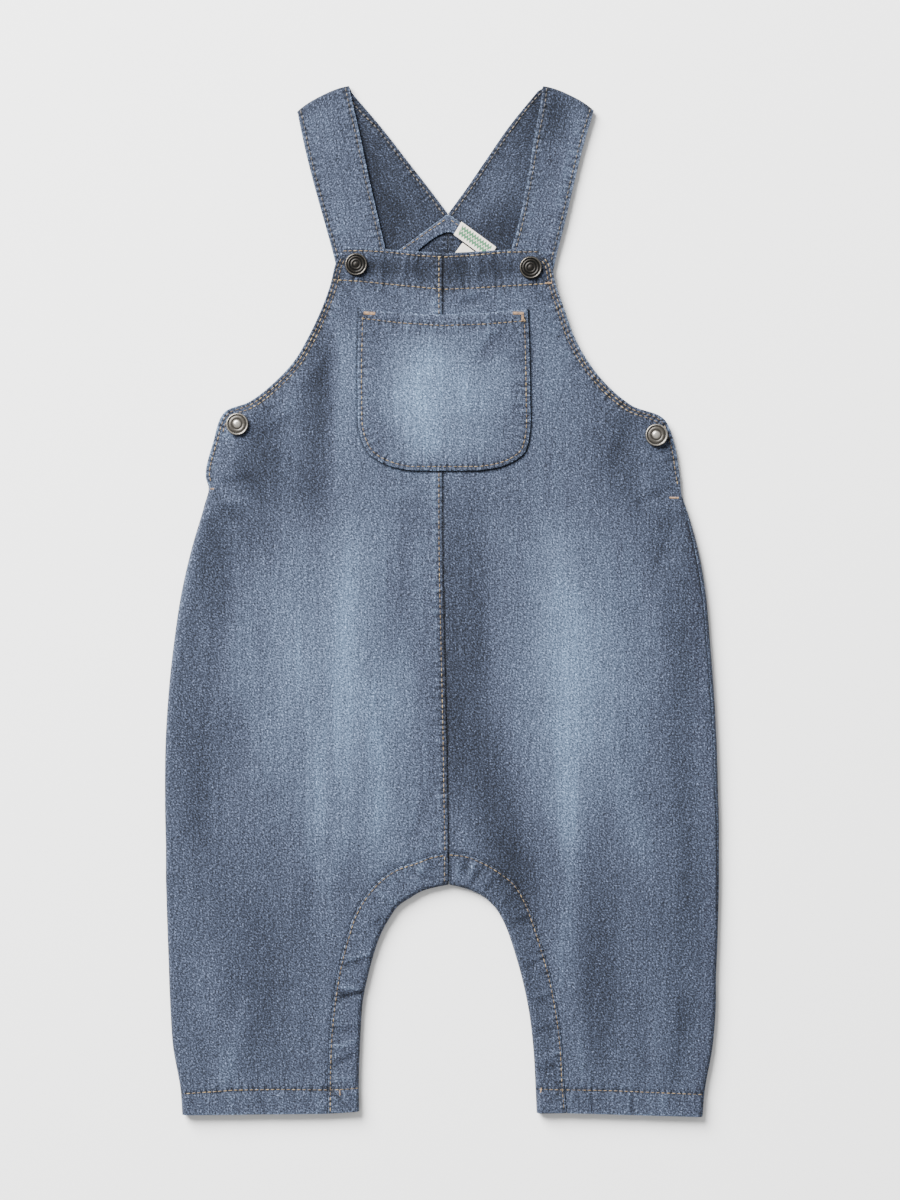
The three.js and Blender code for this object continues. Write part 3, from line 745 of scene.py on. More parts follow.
def nearest(points: Array, paths: list[Array]) -> tuple[Array, Array]:
    """The distance from the nearest of some paths, and the length along it."""
    best = np.full(len(points), FAR)
    along = np.zeros(len(points))
    for path in paths:
        away, walked = near(points, path)
        closer = np.abs(away) < np.abs(best)
        best[closer] = away[closer]
        along[closer] = walked[closer]
    return best, along


def swell(x: Array, y: Array, folds: list[Fold]) -> Array:
    """The sum of some folds' heights at points of the plan."""
    total = np.zeros_like(x)
    for fold in folds:
        dx, dy = fold.x1 - fold.x0, fold.y1 - fold.y0
        t = np.clip(((x - fold.x0) * dx + (y - fold.y0) * dy) / (dx * dx + dy * dy), 0, 1)
        away = np.hypot(x - fold.x0 - t * dx, y - fold.y0 - t * dy) / fold.width
        ends = 1 - 0.35 * np.abs(2 * t - 1) ** 3
        total += fold.height * ends * np.exp(-away * away)
    return total


def washed(x: Array, y: Array, tone_patches: list[Fade]) -> Array:
    """The sum of some lighter and darker patches at points of the plan: washed fading, and painted light and
    shade where a table carries it.
    """
    total = np.zeros_like(x)
    for fade in tone_patches:
        c, s = math.cos(math.radians(fade.turn)), math.sin(math.radians(fade.turn))
        across = ((x - fade.x) * c + (y - fade.y) * s) / fade.wide
        up = ((y - fade.y) * c - (x - fade.x) * s) / fade.tall
        total += fade.strength * np.exp(-((across**2 + up**2) ** 1.3))
    return total


def ripple(along: Array, length: float, phase: float) -> Array:
    """An uneven wave along a seam, from -1 to 1."""
    turn = 2 * math.pi / length
    slow = np.sin(turn * 0.62 * along + 2.1 * phase)
    quick = np.sin(turn * 1.7 * along + 3.7 * phase)
    return 0.5 * np.sin(turn * along + phase) + 0.3 * slow + 0.2 * quick


class Press(NamedTuple):
    """A pressed seam: its groove's inset, depth and width, and its puckers' height, wave and reach."""

    inset: float
    depth: float
    groove: float
    height: float
    wave: float
    reach: float

    def lift(self, away: Array, along: Array, phase: float) -> Array:
        """How far the seam lifts the cloth around it."""
        puckers = self.height * ripple(along, self.wave, phase) * bell(away, self.reach)
        return puckers - self.depth * bell(away - self.inset, self.groove)


TOPSTITCHED = Press(0.0, 0.20, 1.0, 0.20, 6.2, 2.8)
CENTRE_SEAM = Press(0.0, 0.25, 0.5, 0.10, 7.0, 4.0)
BAND_SEAM = Press(0.0, 0.25, 1.2, 0.14, 6.2, 3.5)
BAND_EDGE = Press(1.2, 0.20, 0.7, 0.18, 6.0, 3.0)
STRAP_EDGE = Press(2.3, 0.22, 0.8, 0.14, 5.6, 3.4)
POCKET_EDGE = Press(0.0, 0.22, 1.0, 0.16, 5.4, 2.6)


def level_at(x: Array, y: Array) -> Array:
    """The level of the front's upper face away from its edges, without small creases."""
    heights = np.array(MIDDLE_LEVEL[::-1])
    return np.clip(np.interp(y, heights[:, 0], heights[:, 1]) + swell(x, y, RELIEF), LOWEST_TOP, HIGHEST_TOP)


def lay_at(y: Array, column: str) -> Array:
    """A column of the side lay at heights of Y."""
    rows = SIDE_LAY[::-1]
    return np.interp(y, [row.y for row in rows], [getattr(row, column) for row in rows])


class Shade:
    """A shader value, on which Python's operators make Math nodes."""

    def __init__(self, shop: "Dye", socket: bpy.types.NodeSocket) -> None:
        """Keeps the socket and the node maker that it belongs to."""
        self.shop = shop
        self.socket = socket

    def __add__(self, other: "Shade | float") -> "Shade":
        """The sum."""
        return self.shop.maths("ADD", self, other)

    __radd__ = __add__

    def __sub__(self, other: "Shade | float") -> "Shade":
        """The difference."""
        return self.shop.maths("SUBTRACT", self, other)

    def __rsub__(self, other: float) -> "Shade":
        """The difference from a number."""
        return self.shop.maths("SUBTRACT", other, self)

    def __mul__(self, other: "Shade | float") -> "Shade":
        """The product."""
        return self.shop.maths("MULTIPLY", self, other)

    __rmul__ = __mul__

    def __truediv__(self, other: "Shade | float") -> "Shade":
        """The quotient."""
        return self.shop.maths("DIVIDE", self, other)

    def power(self, other: "Shade | float") -> "Shade":
        """This value raised to a power."""
        return self.shop.maths("POWER", self, other)

    def cosine(self) -> "Shade":
        """The cosine of this value."""
        return self.shop.maths("COSINE", self)

    def clamped(self) -> "Shade":
        """This value held between 0 and 1."""
        return self.shop.maths("MINIMUM", self.shop.maths("MAXIMUM", self, 0.0), 1.0)

    def falls(self, reach: float) -> "Shade":
        """1 where this value is 0, dying away over a reach."""
        scaled = self / reach
        return self.shop.maths("POWER", 2.718, 0.0 - scaled * scaled)


class Dye:
    """Makes the nodes of one material."""

    def __init__(self, name: str) -> None:
        """Starts an empty material."""
        self.material = bpy.data.materials.new(name)
        self.material.use_nodes = True
        self.tree = self.material.node_tree
        self.tree.nodes.clear()

    def node(self, kind: str, settings: dict | None = None, inputs: dict | None = None) -> bpy.types.Node:
        """Makes a node.

        Args:
            kind: The node's type.
            settings: Its own settings, set first. The key stops fills a colour ramp.
            inputs: The values or links of its sockets, by name or number.

        Returns:
            The node.
        """
        made = self.tree.nodes.new(kind)
        for key, value in (settings or {}).items():
            if key == "stops":
                ramp = made.color_ramp
                while len(ramp.elements) < len(value):
                    ramp.elements.new(0.5)
                for element, (place, colour) in zip(ramp.elements, value):
                    element.position = place
                    element.color = (*colour, 1.0)
            else:
                setattr(made, key, value)
        for key, value in (inputs or {}).items():
            socket = made.inputs[key]
            if isinstance(value, Shade):
                self.tree.links.new(value.socket, socket)
            else:
                socket.default_value = value
        return made

    def maths(self, operation: str, *values: "Shade | float") -> Shade:
        """A Math node on one or two values."""
        made = self.node("ShaderNodeMath", {"operation": operation}, dict(enumerate(values)))
        return Shade(self, made.outputs[0])

    def attribute(self, name: str) -> Shade:
        """A number that the mesh carries."""
        made = self.node("ShaderNodeAttribute", {"attribute_name": name})
        return Shade(self, made.outputs["Fac"])

    def place(self, scale: tuple[float, float, float], turn: float = 0.0) -> Shade:
        """The cloth's own coordinates in millimetres, turned and then stretched."""
        where = Shade(self, self.node("ShaderNodeUVMap", {"uv_map": "cloth"}).outputs[0])
        if turn:
            turned = self.node("ShaderNodeMapping", {}, {"Vector": where, "Rotation": (0.0, 0.0, turn)})
            where = Shade(self, turned.outputs[0])
        made = self.node("ShaderNodeMapping", {}, {"Vector": where, "Scale": scale})
        return Shade(self, made.outputs[0])

    def noise(
        self, where: Shade, scale: float, detail: float = 1.0, roughness: float = 0.5, room: str = "2D"
    ) -> Shade:
        """A noise from -1 to 1, on two of a place's coordinates or on all three."""
        inputs = {"Vector": where, "Scale": scale, "Detail": detail, "Roughness": roughness}
        made = self.node("ShaderNodeTexNoise", {"noise_dimensions": room}, inputs)
        return (Shade(self, made.outputs["Fac"]) - 0.5) * 2.0

    def object_noise(self, scale: float, detail: float) -> Shade:
        """A noise from -1 to 1 on the object's coordinates."""
        where = Shade(self, self.node("ShaderNodeTexCoord").outputs["Object"])
        return self.noise(where, scale, detail, room="3D")

    def ramp(self, value: Shade, stops: list[tuple[float, Colour]]) -> Shade:
        """Colours along a value."""
        made = self.node("ShaderNodeValToRGB", {"stops": stops}, {0: value})
        return Shade(self, made.outputs[0])

    def pair(self, first: Shade, second: Shade) -> Shade:
        """Two values as the X and the Y of a place."""
        return Shade(self, self.node("ShaderNodeCombineXYZ", {}, {0: first, 1: second}).outputs[0])

    def scaled(self, colour: Shade, factor: Shade) -> Shade:
        """A colour made lighter or darker by a factor."""
        made = self.node("ShaderNodeVectorMath", {"operation": "SCALE"}, {"Vector": colour, "Scale": factor})
        return Shade(self, made.outputs[0])

    def blend(self, factor: Shade, first: Shade, second: Colour) -> Shade:
        """A mix of a colour with a plain one."""
        made = self.node("ShaderNodeMix", {"data_type": "RGBA"}, {0: factor, 6: first, 7: (*second, 1.0)})
        return Shade(self, made.outputs[2])

    def finish(
        self, links: dict, numbers: dict, height: Shade | None = None, bump: float = 0.0
    ) -> bpy.types.Material:
        """Joins everything to a Principled shader.

        Args:
            links: What changes over the surface, by socket name.
            numbers: What is the same all over, by socket name.
            height: A height in millimetres for the bump.
            bump: The bump's strength.

        Returns:
            The material.
        """
        shader = self.node("ShaderNodeBsdfPrincipled", {}, {**numbers, **links})
        if height is not None:
            made = self.node("ShaderNodeBump", {}, {"Height": height, "Strength": bump, "Distance": MM})
            self.tree.links.new(made.outputs[0], shader.inputs["Normal"])
        output = self.node("ShaderNodeOutputMaterial")
        self.tree.links.new(shader.outputs[0], output.inputs[0])
        return self.material


@dataclass(frozen=True)
class Chambray:
    """Washed blue chambray denim: dark warp and white weft in a fine twill."""

    name: str = "chambray"
    navy: Colour = (0.0070, 0.0092, 0.0157)
    deep: Colour = (0.0165, 0.0208, 0.0333)
    middle: Colour = (0.0290, 0.0364, 0.0572)
    light: Colour = (0.0471, 0.0630, 0.0975)
    washed: Colour = (0.0734, 0.1079, 0.1676)
    white: Colour = (0.1450, 0.2353, 0.3491)
    grain: float = 1.74
    unfaded: float = 0.43

    def material(self) -> bpy.types.Material:
        """Makes the material from the cloth's coordinates and the seams' distances."""
        dye = Dye(self.name)
        straight = dye.place((1.0, 1.0, 1.0))
        salt = dye.noise(straight, 1.3, 1.0, 0.6)
        twill = dye.noise(dye.place((1.45, 0.80, 1.0), math.radians(-42)), 1.0, 1.0)
        warp = dye.noise(dye.place((1.2, 0.16, 1.0)), 1.0, 1.0)
        slub = dye.noise(dye.place((0.40, 0.022, 1.0)), 1.0, 2.0)
        cloudy = dye.noise(straight, 0.05, 4.0, 0.65)
        grain = salt * 0.98 + twill * 0.86 + warp * 0.28
        seam = dye.attribute("seam")
        along = dye.attribute("along")
        worn = dye.attribute("edge").falls(0.9)
        puckers = dye.noise(dye.pair(along * 0.42, seam * 0.07), 1.0, 1.0) * seam.falls(5.0)
        rope = (0.0 - (along * (2 * math.pi / STITCH_PITCH)).cosine()) * seam.falls(1.1)
        # Painted shade in the dimples between stitches along the seams
        stitch_dimple_shade = dye.maths("MINIMUM", rope, 0.0)
        # A thin dark line of painted shade along the seams' grooves, the gaps between pieces and the pocket's
        # edge
        line = dye.attribute("line").falls(0.55)
        # The carried fading with painted light and shade, cloudy and slubby tone, and the puckers: paler on
        # their crests and darker between them, partly rubbed wear and partly painted light and shade
        wash_and_shade = dye.attribute("fade") * 0.38 + cloudy * 0.07 + slub * 0.10 + puckers * 0.30
        tone = self.unfaded + wash_and_shade + worn * (0.17 + salt * 0.26)
        blues = (self.navy, self.deep, self.middle, self.light, self.washed, self.white)
        hue = dye.ramp(tone.clamped(), [(step / 5, blue) for step, blue in enumerate(blues)])
        contrast = (tone * -0.46 + 1.18) * self.grain
        # The colour is darkened by the painted shade of the stitch dimples and of the shade lines
        colour = dye.scaled(hue, dye.maths("POWER", 2.718, grain * contrast + stitch_dimple_shade * 0.8 - line * 0.85))
        height = grain * 0.06 + rope * 0.16 + puckers * 0.30
        return dye.finish(
            {"Base Color": colour},
            {"Roughness": 0.92, "Specular IOR Level": 0.18, "Sheen Weight": 0.04, "Sheen Roughness": 0.5},
            height,
            0.9,
        )


@dataclass(frozen=True)
class Thread:
    """Topstitching thread, tan with paler and browner stitches."""

    name: str
    pale: Colour
    main: Colour
    dark: Colour

    def material(self) -> bpy.types.Material:
        """Makes the material, with its colour changing from stitch to stitch."""
        dye = Dye(self.name)
        tone = (dye.object_noise(430.0, 1.0) * 0.9 + dye.object_noise(60.0, 1.0) * 0.5 + 0.5).clamped()
        colour = dye.ramp(tone, [(0.05, self.dark), (0.5, self.main), (0.95, self.pale)])
        height = dye.object_noise(2600.0, 1.0) * 0.05
        return dye.finish({"Base Color": colour}, {"Roughness": 0.75, "Sheen Weight": 0.2}, height, 0.5)


@dataclass(frozen=True)
class SnapMetal:
    """Antique metal: dark in the grooves and rubbed bright on the rings."""

    name: str
    groove: Colour
    plain: Colour
    bright: Colour

    def material(self) -> bpy.types.Material:
        """Makes the material from the height of the cap's own rings."""
        dye = Dye(self.name)
        relief = dye.attribute("relief")
        cloudy = dye.object_noise(900.0, 3.0)
        fine = dye.object_noise(5200.0, 2.0)
        tone = (relief + cloudy * 0.16 + fine * 0.10).clamped()
        colour = dye.ramp(tone, [(0.05, self.groove), (0.5, self.plain), (0.95, self.bright)])
        roughness = (0.46 - relief * 0.16 + cloudy * 0.08).clamped()
        height = fine * 0.03 + cloudy * 0.02
        return dye.finish({"Base Color": colour, "Roughness": roughness}, {"Metallic": 0.85}, height, 0.5)


@dataclass(frozen=True)
class LabelTape:
    """Cream woven tape, with a plain green zigzag where a label would have words."""

    name: str
    cream: Colour = (0.66, 0.62, 0.54)
    green: Colour = (0.012, 0.115, 0.045)
    marked: bool = True
    rows: tuple[float, float] = (2.5, 5.2)
    tooth: float = 0.85
    line: float = 1.05
    middle: float = 11.3
    reach: float = 9.6

    def material(self) -> bpy.types.Material:
        """Makes the material on the tape's own coordinates."""
        dye = Dye(self.name)
        warp, weft = dye.place((2.2, 0.5, 1.0)), dye.place((0.5, 2.2, 1.0))
        weave = dye.noise(warp, 1.0, 1.0) + dye.noise(weft, 1.0, 1.0)
        colour = dye.ramp(
            (weave * 0.3 + 0.55).clamped(), [(0.0, tuple(c * 0.8 for c in self.cream)), (1.0, self.cream)]
        )
        if self.marked:
            split = dye.node("ShaderNodeSeparateXYZ", {}, {0: dye.place((1.0, 1.0, 1.0))})
            across = Shade(dye, split.outputs["X"])
            down = Shade(dye, split.outputs["Y"])
            tooth = dye.maths("PINGPONG", across, self.tooth) * 2.0 - self.tooth
            rows = [((down - row - tooth) / self.line).power(2.0) for row in self.rows]
            lines = dye.maths("LESS_THAN", dye.maths("MINIMUM", *rows), 1.0)
            inside = dye.maths("LESS_THAN", ((across - self.middle) / self.reach).power(2.0), 1.0)
            ink = lines * inside
            colour = dye.blend(ink * 0.95, colour, self.green)
        return dye.finish({"Base Color": colour}, {"Roughness": 0.85, "Sheen Weight": 0.1}, weave * 0.05, 0.6)


@dataclass(frozen=True)
class Studio:
    """A soft light from the upper left, an even sky, and the camera straight above."""

    eye: tuple[float, float, float] = (0.0043, 0.0008, 1.778)
    lens: float = 100.0
    film: float = 36.0
    window: tuple[float, float, float] = (-2.0, 2.38, 2.19)
    window_size: float = 2.8
    window_power: float = 917.0
    sky: float = 0.62

    def build(self) -> None:
        """Puts up the camera, the light and the sky."""
        scene = bpy.context.scene
        camera = bpy.data.cameras.new("camera")
        camera.lens = self.lens
        camera.sensor_width = self.film
        view = bpy.data.objects.new("camera", camera)
        view.location = self.eye
        scene.collection.objects.link(view)
        scene.camera = view
        lamp = bpy.data.lights.new("window", "AREA")
        lamp.shape = "DISK"
        lamp.size = self.window_size
        lamp.energy = self.window_power
        window = bpy.data.objects.new("window", lamp)
        window.location = self.window
        window.rotation_euler = (-window.location).to_track_quat("-Z", "Y").to_euler()
        scene.collection.objects.link(window)
        scene.world = bpy.data.worlds.new("studio")
        scene.world.use_nodes = True
        inputs = scene.world.node_tree.nodes["Background"].inputs
        inputs["Color"].default_value = (1.0, 1.0, 1.0, 1.0)
        inputs["Strength"].default_value = self.sky


def placed(name: str, bm: bmesh.types.BMesh, material: bpy.types.Material) -> bpy.types.Object:
    """Puts a bmesh into the scene as a smooth object of one finish."""
    mesh = bpy.data.meshes.new(name)
    bm.to_mesh(mesh)
    bm.free()
    mesh.materials.append(material)
    mesh.shade_smooth()
    piece = bpy.data.objects.new(name, mesh)
    bpy.context.scene.collection.objects.link(piece)
    log.info("%s: %d points", name, len(mesh.vertices))
    return piece


@dataclass(frozen=True)
class Ground:
    """The plain pale surface that the garment lies on."""

    colour: Colour = (0.92, 0.92, 0.915)
    size: float = 8.0
    drop: float = 0.00025

    def build(self) -> bpy.types.Object:
        """Makes the floor just under the garment."""
        bm = bmesh.new()
        bmesh.ops.create_grid(bm, x_segments=1, y_segments=1, size=self.size / 2)
        numbers = {"Base Color": (*self.colour, 1.0), "Roughness": 0.95, "Specular IOR Level": 0.1}
        ground = placed("ground", bm, Dye("pale_ground").finish({}, numbers))
        ground.location.z = -self.drop
        return ground


@dataclass
class Cloth:
    """One piece of cloth: a grid of points that is given a thickness."""

    node: str
    outer: Array
    thickness: float
    kind: str = "cloth"
    faces_up: bool = True
    fade: Array | None = None
    edge: Array | None = None
    seams: list[Array] = field(default_factory=list)
    # Paths along which the finish paints a thin dark line of shade
    lines: list[Array] = field(default_factory=list)
    seam: Array | None = None
    along: Array | None = None
    weave: Array | None = None
    bevel: float = 0.35
    slot: str = "chambray"
    upright: bool = False

    def flat_area(self) -> float:
        """The area of the sheet in square metres."""
        p = self.outer * MM
        first = np.cross(p[1:, :-1] - p[:-1, :-1], p[:-1, 1:] - p[:-1, :-1])
        second = np.cross(p[1:, :-1] - p[1:, 1:], p[:-1, 1:] - p[1:, 1:])
        return float(np.linalg.norm(first, axis=2).sum() + np.linalg.norm(second, axis=2).sum()) / 2

    def flat_size(self) -> tuple[float, float]:
        """The width and the length of the rectangle that the sheet is cut from."""
        across, along = np.diff(self.outer, axis=1), np.diff(self.outer, axis=0)
        if self.upright:
            across, along = across[:, :, ::2], along[:, :, 1:]
        width = np.linalg.norm(across, axis=2).sum(axis=1).max()
        length = np.linalg.norm(along, axis=2).sum(axis=0).max()
        return float(width) * MM, float(length) * MM

    def build(self, material: bpy.types.Material) -> bpy.types.Object:
        """Makes the mesh, its coordinates and its thickness, in a finish."""
        rows, columns, _ = self.outer.shape
        bm = bmesh.new()
        bmesh.ops.create_grid(bm, x_segments=columns - 1, y_segments=rows - 1, size=1.0)
        bm.verts.ensure_lookup_table()
        plan = np.array([v.co[:2] for v in bm.verts])
        c = np.rint((plan[:, 0] + 1) / 2 * (columns - 1)).astype(int)
        r = np.rint((1 - plan[:, 1]) / 2 * (rows - 1)).astype(int)
        places = self.outer[r, c]
        for vert, place in zip(bm.verts, places * MM):
            vert.co = place
        bm.normal_update()
        corner = bm.verts[int(np.flatnonzero((r == rows - 1) & (c == 0))[0])]
        if (corner.link_faces[0].normal.z > 0) != self.faces_up:
            bmesh.ops.reverse_faces(bm, faces=bm.faces[:])
        piece = placed(f"{self.node}_{self.kind}", bm, material)
        self._carry(piece.data, places, r, c)
        wall = piece.modifiers.new("wall", "SOLIDIFY")
        wall.thickness = self.thickness * MM
        wall.offset = -1.0
        wall.use_even_offset = True
        wall.thickness_clamp = 0.0
        if self.bevel:
            rim = piece.modifiers.new("rim", "BEVEL")
            rim.width = self.bevel * MM
            rim.segments = 2
            rim.limit_method = "ANGLE"
            rim.angle_limit = math.radians(50)
            rim.harden_normals = False
        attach(piece, "root")
        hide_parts(self.node)
        return piece

    def _carry(self, mesh: bpy.types.Mesh, places: Array, r: Array, c: Array) -> None:
        """Writes what the finish reads: fading with painted light and shade, distances from seams, edges and
        the painted shade lines, and coordinates.
        """
        plan = places[:, :2]
        far = np.full(len(places), FAR)
        seam, along = nearest(plan, self.seams)
        carried = {
            "fade": far * 0 if self.fade is None else self.fade[r, c],
            "edge": far if self.edge is None else self.edge[r, c],
            "seam": seam if self.seam is None else self.seam[r, c],
            "along": along if self.along is None else self.along[r, c],
            # Distance from the painted shade lines
            "line": np.maximum(np.abs(nearest(plan, self.lines)[0]) - 0.3, 0.0),
        }
        for name, values in carried.items():
            layer = mesh.attributes.new(name, "FLOAT", "POINT")
            layer.data.foreach_set("value", values.astype(np.float32))
        weave = plan if self.weave is None else self.weave[r, c]
        corners = np.zeros(len(mesh.loops), dtype=np.int32)
        mesh.loops.foreach_get("vertex_index", corners)
        layer = mesh.uv_layers.new(name="cloth")
        layer.data.foreach_set("uv", weave[corners].astype(np.float32).ravel())


def boundary(grid: Array) -> Array:
    """The distance of each point of a grid from the grid's own outline, in millimetres."""
    rows, columns, _ = grid.shape
    across = np.linalg.norm(np.diff(grid, axis=1), axis=2)
    along = np.linalg.norm(np.diff(grid, axis=0), axis=2)
    right = np.concatenate([np.zeros((rows, 1)), np.cumsum(across, axis=1)], axis=1)
    down = np.concatenate([np.zeros((1, columns)), np.cumsum(along, axis=0)], axis=0)
    return np.minimum(np.minimum(right, right[:, -1:] - right), np.minimum(down, down[-1:] - down))


def arc_pair(edge: Array, inward: Array, centre: Array, degrees: Array) -> Array:
    """Points on a rounded side edge: 90 degrees is on top and -90 underneath."""
    angle = np.radians(degrees)
    inset = FOLD_RADIUS * (1 - np.cos(angle))
    plan = edge + inward * inset[:, None]
    return np.column_stack([plan, centre + FOLD_RADIUS * np.sin(angle)])


@dataclass
class BodyHalf:
    """The front and the back of one side of the garment, with the band of its inner leg."""

    side: Side
    seams: dict[str, Array] = field(default_factory=dict)

    def rows(self, body: list[BodyRow], step: float) -> tuple[Array, Array, int]:
        """The seam's and the edge's points of each section.

        Args:
            body: The rows above the crotch.
            step: The most that a section may lie from the next.

        Returns:
            The seam's points, the edge's points, and the number of the first row of the leg.
        """
        pick = {Side.LEFT: (2, 3), Side.RIGHT: (4, 5)}[self.side]
        leg = LEGS[self.side]
        upper = [(row[0], row[1], row[pick[0]], row[pick[1]]) for row in body]
        lower = [(row.seam_x, row.seam_y, row.edge_x, row.edge_y) for row in leg]
        top = through(upper + lower[:1], step)
        bottom = through(lower, step)
        joined = np.vstack([top[:-1], bottom])
        return joined[:, :2], joined[:, 2:], len(top) - 1

    def sections(
        self, seam: Array, edge: Array, flat: Array, turn: Array, start: float, centre: Array
    ) -> Array:
        """The plan of a panel's grid, with its rounded edge in place.

        Args:
            seam: The seam's point of each row.
            edge: The side edge's point of each row.
            flat: The shares of the way across at which the flat columns stand.
            turn: The angle at which each row's rounded edge stops.
            start: The angle at which it starts.
            centre: The level of each row's centre of rounding.

        Returns:
            The grid of points, whose flat columns still lie at level 0.
        """
        inward = unit(seam - edge)
        arc_start = edge + inward * FOLD_RADIUS
        level = np.zeros(len(seam))
        columns = [np.column_stack([seam + (arc_start - seam) * share, level]) for share in flat]
        cells = max(4, math.ceil(FOLD_RADIUS * math.pi * 0.75 / ARC_STEP))
        for k in range(cells + 1):
            degrees = start + (turn - start) * k / cells
            columns.append(arc_pair(edge, inward, centre, degrees))
        return np.stack(columns, axis=1)

    def hem_lift(self, x: Array, y: Array) -> Array:
        """How far the turned hem stands over the leg."""
        line = np.interp(np.abs(x), *zip(*HEM_LINE))
        return 0.40 * smooth_step((line - y) / 1.4) - 0.30 * bell(y - line, 0.9)

    def front(self) -> Cloth:
        """The half of the front, with its folds, creases and puckered seams."""
        seam, edge, first_leg = self.rows(BODY, FRONT_STEP)
        joined = beside(seam, -self.side.value * LAYER_GAP / 2)
        reach = float(np.linalg.norm(seam - edge, axis=1).max())
        flat = np.linspace(0, 1, math.ceil(reach / FRONT_STEP), endpoint=False)
        top = lay_at(edge[:, 1], "top")
        turn = lay_at(edge[:, 1], "front_" + self.side.word)
        outwards = unit(edge - seam)
        started = edge + outwards * lay_at(edge[:, 1], "reach")[:, None]
        grid = self.sections(joined, started, flat, turn, 90.0, top - FOLD_RADIUS)
        count = len(flat)
        x, y = grid[:, :count, 0], grid[:, :count, 1]
        width = np.linalg.norm(joined - edge, axis=1)[:, None]
        from_seam, from_edge = flat[None, :] * width, (1 - flat)[None, :] * width
        in_leg = smooth_step((seam[:, 1] - CROTCH_BLEND[0]) / (CROTCH_BLEND[1] - CROTCH_BLEND[0]))[:, None]
        by_band = smooth_step(from_seam / EDGE_FADE)
        blend = smooth_step(from_edge / EDGE_FADE) * (1 - in_leg + in_leg * by_band)
        grid[:, :count, 2] = top[:, None] * (1 - blend) + level_at(x, y) * blend
        self.stitch_lines(seam, edge, first_leg)
        return self.pressed(grid, seam, edge, first_leg)

    def stitch_lines(self, seam: Array, edge: Array, first_leg: int) -> None:
        """Works out the rows of topstitching of this half's front."""
        sign, rows = self.side.value, SEWN_ROWS[self.side]
        upper = edge[:first_leg]
        arm = upper[(upper[:, 1] > OPENING_FOOT) & (upper[:, 1] < BIB_ROW_LEVEL)]
        self.seams["armhole"] = beside(arm, sign * 1.6)
        self.seams["armhole_second"] = beside(arm[arm[:, 1] > SECOND_ROW_FOOT], sign * 3.4)
        self.seams["hem"] = np.array(rows["hem"])
        if self.side is Side.LEFT:
            centre = seam[:first_leg]
            self.seams["centre"] = beside(centre[centre[:, 1] < BIB_ROW_LEVEL], -sign * 2.1)
        self.seams["bib_top"] = np.array(rows["bib_top"])
        self.seams["bib_low"] = np.array(rows["bib_low"])

    def pressed(self, grid: Array, seam: Array, edge: Array, first_leg: int) -> Cloth:
        """Presses the seams into the front, adds the creases, and makes the piece."""
        rows, columns, _ = grid.shape
        points = grid.reshape(-1, 3)
        x, y = points[:, 0].copy(), points[:, 1].copy()
        turned = self.hem_lift(x, y)
        lift = swell(x, y, CREASES) + turned
        for phase, path in enumerate(self.seams.values()):
            lift += TOPSTITCHED.lift(*near(points[:, :2], path), phase + 1.0)
        centre = seam[:first_leg]
        away, along = near(points[:, :2], centre)
        away = np.abs(away)
        if self.side is Side.LEFT:
            lift += 0.30 * smooth_step((6.6 - away) / 1.6)
        lift += CENTRE_SEAM.lift(away, along, 5.0)
        lift += BAND_SEAM.lift(*near(points[:, :2], seam[first_leg:]), 2.0)
        on_top = smooth_step((points[:, 2] - 1.6) / 1.5)
        points[:, 2] += lift * on_top
        points[:, 2] = np.maximum(points[:, 2], DENIM + 0.5)
        shape = (rows, columns)
        # The patches, then paler on raised creases and puckers and darker in grooves and troughs: partly
        # rubbed wear, partly painted light and shade
        fade = washed(x, y, FADES_AND_SHADE) + PIECE_FADE_AND_SHADE["front"] + RELIEF_WEAR_AND_SHADE * (lift - np.maximum(turned, 0))
        side_away = near(points[:, :2], edge)[0]
        # Darker along the rounded side edges: painted shade where the cloth turns down
        fade -= 0.20 * bell(side_away, 9.0)
        free = edge[:first_leg][edge[:first_leg][:, 1] > OPENING_FOOT + 0.5]
        wear = nearest(points[:, :2], [free, grid[0, :, :2], grid[-1, :, :2]])[0]
        # Painted shade lines: in the centre seam's groove, just outside the pocket's edge and, on the right,
        # along the side seam's gap
        lines = [centre, beside(BibPocket().outline(), 0.35)]
        if self.side is Side.LEFT:
            fade += 0.70 * bell(side_away, 5.0) * bell(y - 20, 80)
        else:
            side = edge[(edge[:, 1] < SIDE_SEAM_TOP) & (edge[:, 1] > SIDE_SEAM[0][0])]
            inset = np.interp(side[:, 1], *zip(*SIDE_SEAM))
            lines.append(side - np.column_stack([inset, 0 * inset]))
        return Cloth(
            node=f"front_{self.side.word}",
            outer=points.reshape(rows, columns, 3),
            thickness=DENIM,
            fade=fade.reshape(shape),
            edge=wear.reshape(shape),
            seams=list(self.seams.values()),
            lines=lines,
            upright=True,
        )

    def back(self) -> Cloth:
        """The half of the back, flat on the surface and rounded up at the side."""
        seam, edge, _ = self.rows(BACK_TOP + BODY[FIRST_SEWN_ROW:], BACK_STEP)
        joined = beside(seam, -self.side.value * LAYER_GAP / 2)
        reach = float(np.linalg.norm(seam - edge, axis=1).max())
        flat = np.linspace(0, 1, math.ceil(reach / BACK_STEP), endpoint=False)
        turn = lay_at(edge[:, 1], "back_" + self.side.word) - 7.0
        grid = self.sections(joined, edge, flat, turn, -90.0, np.full(len(seam), FOLD_RADIUS))
        rows, columns, _ = grid.shape
        points = grid.reshape(-1, 3)
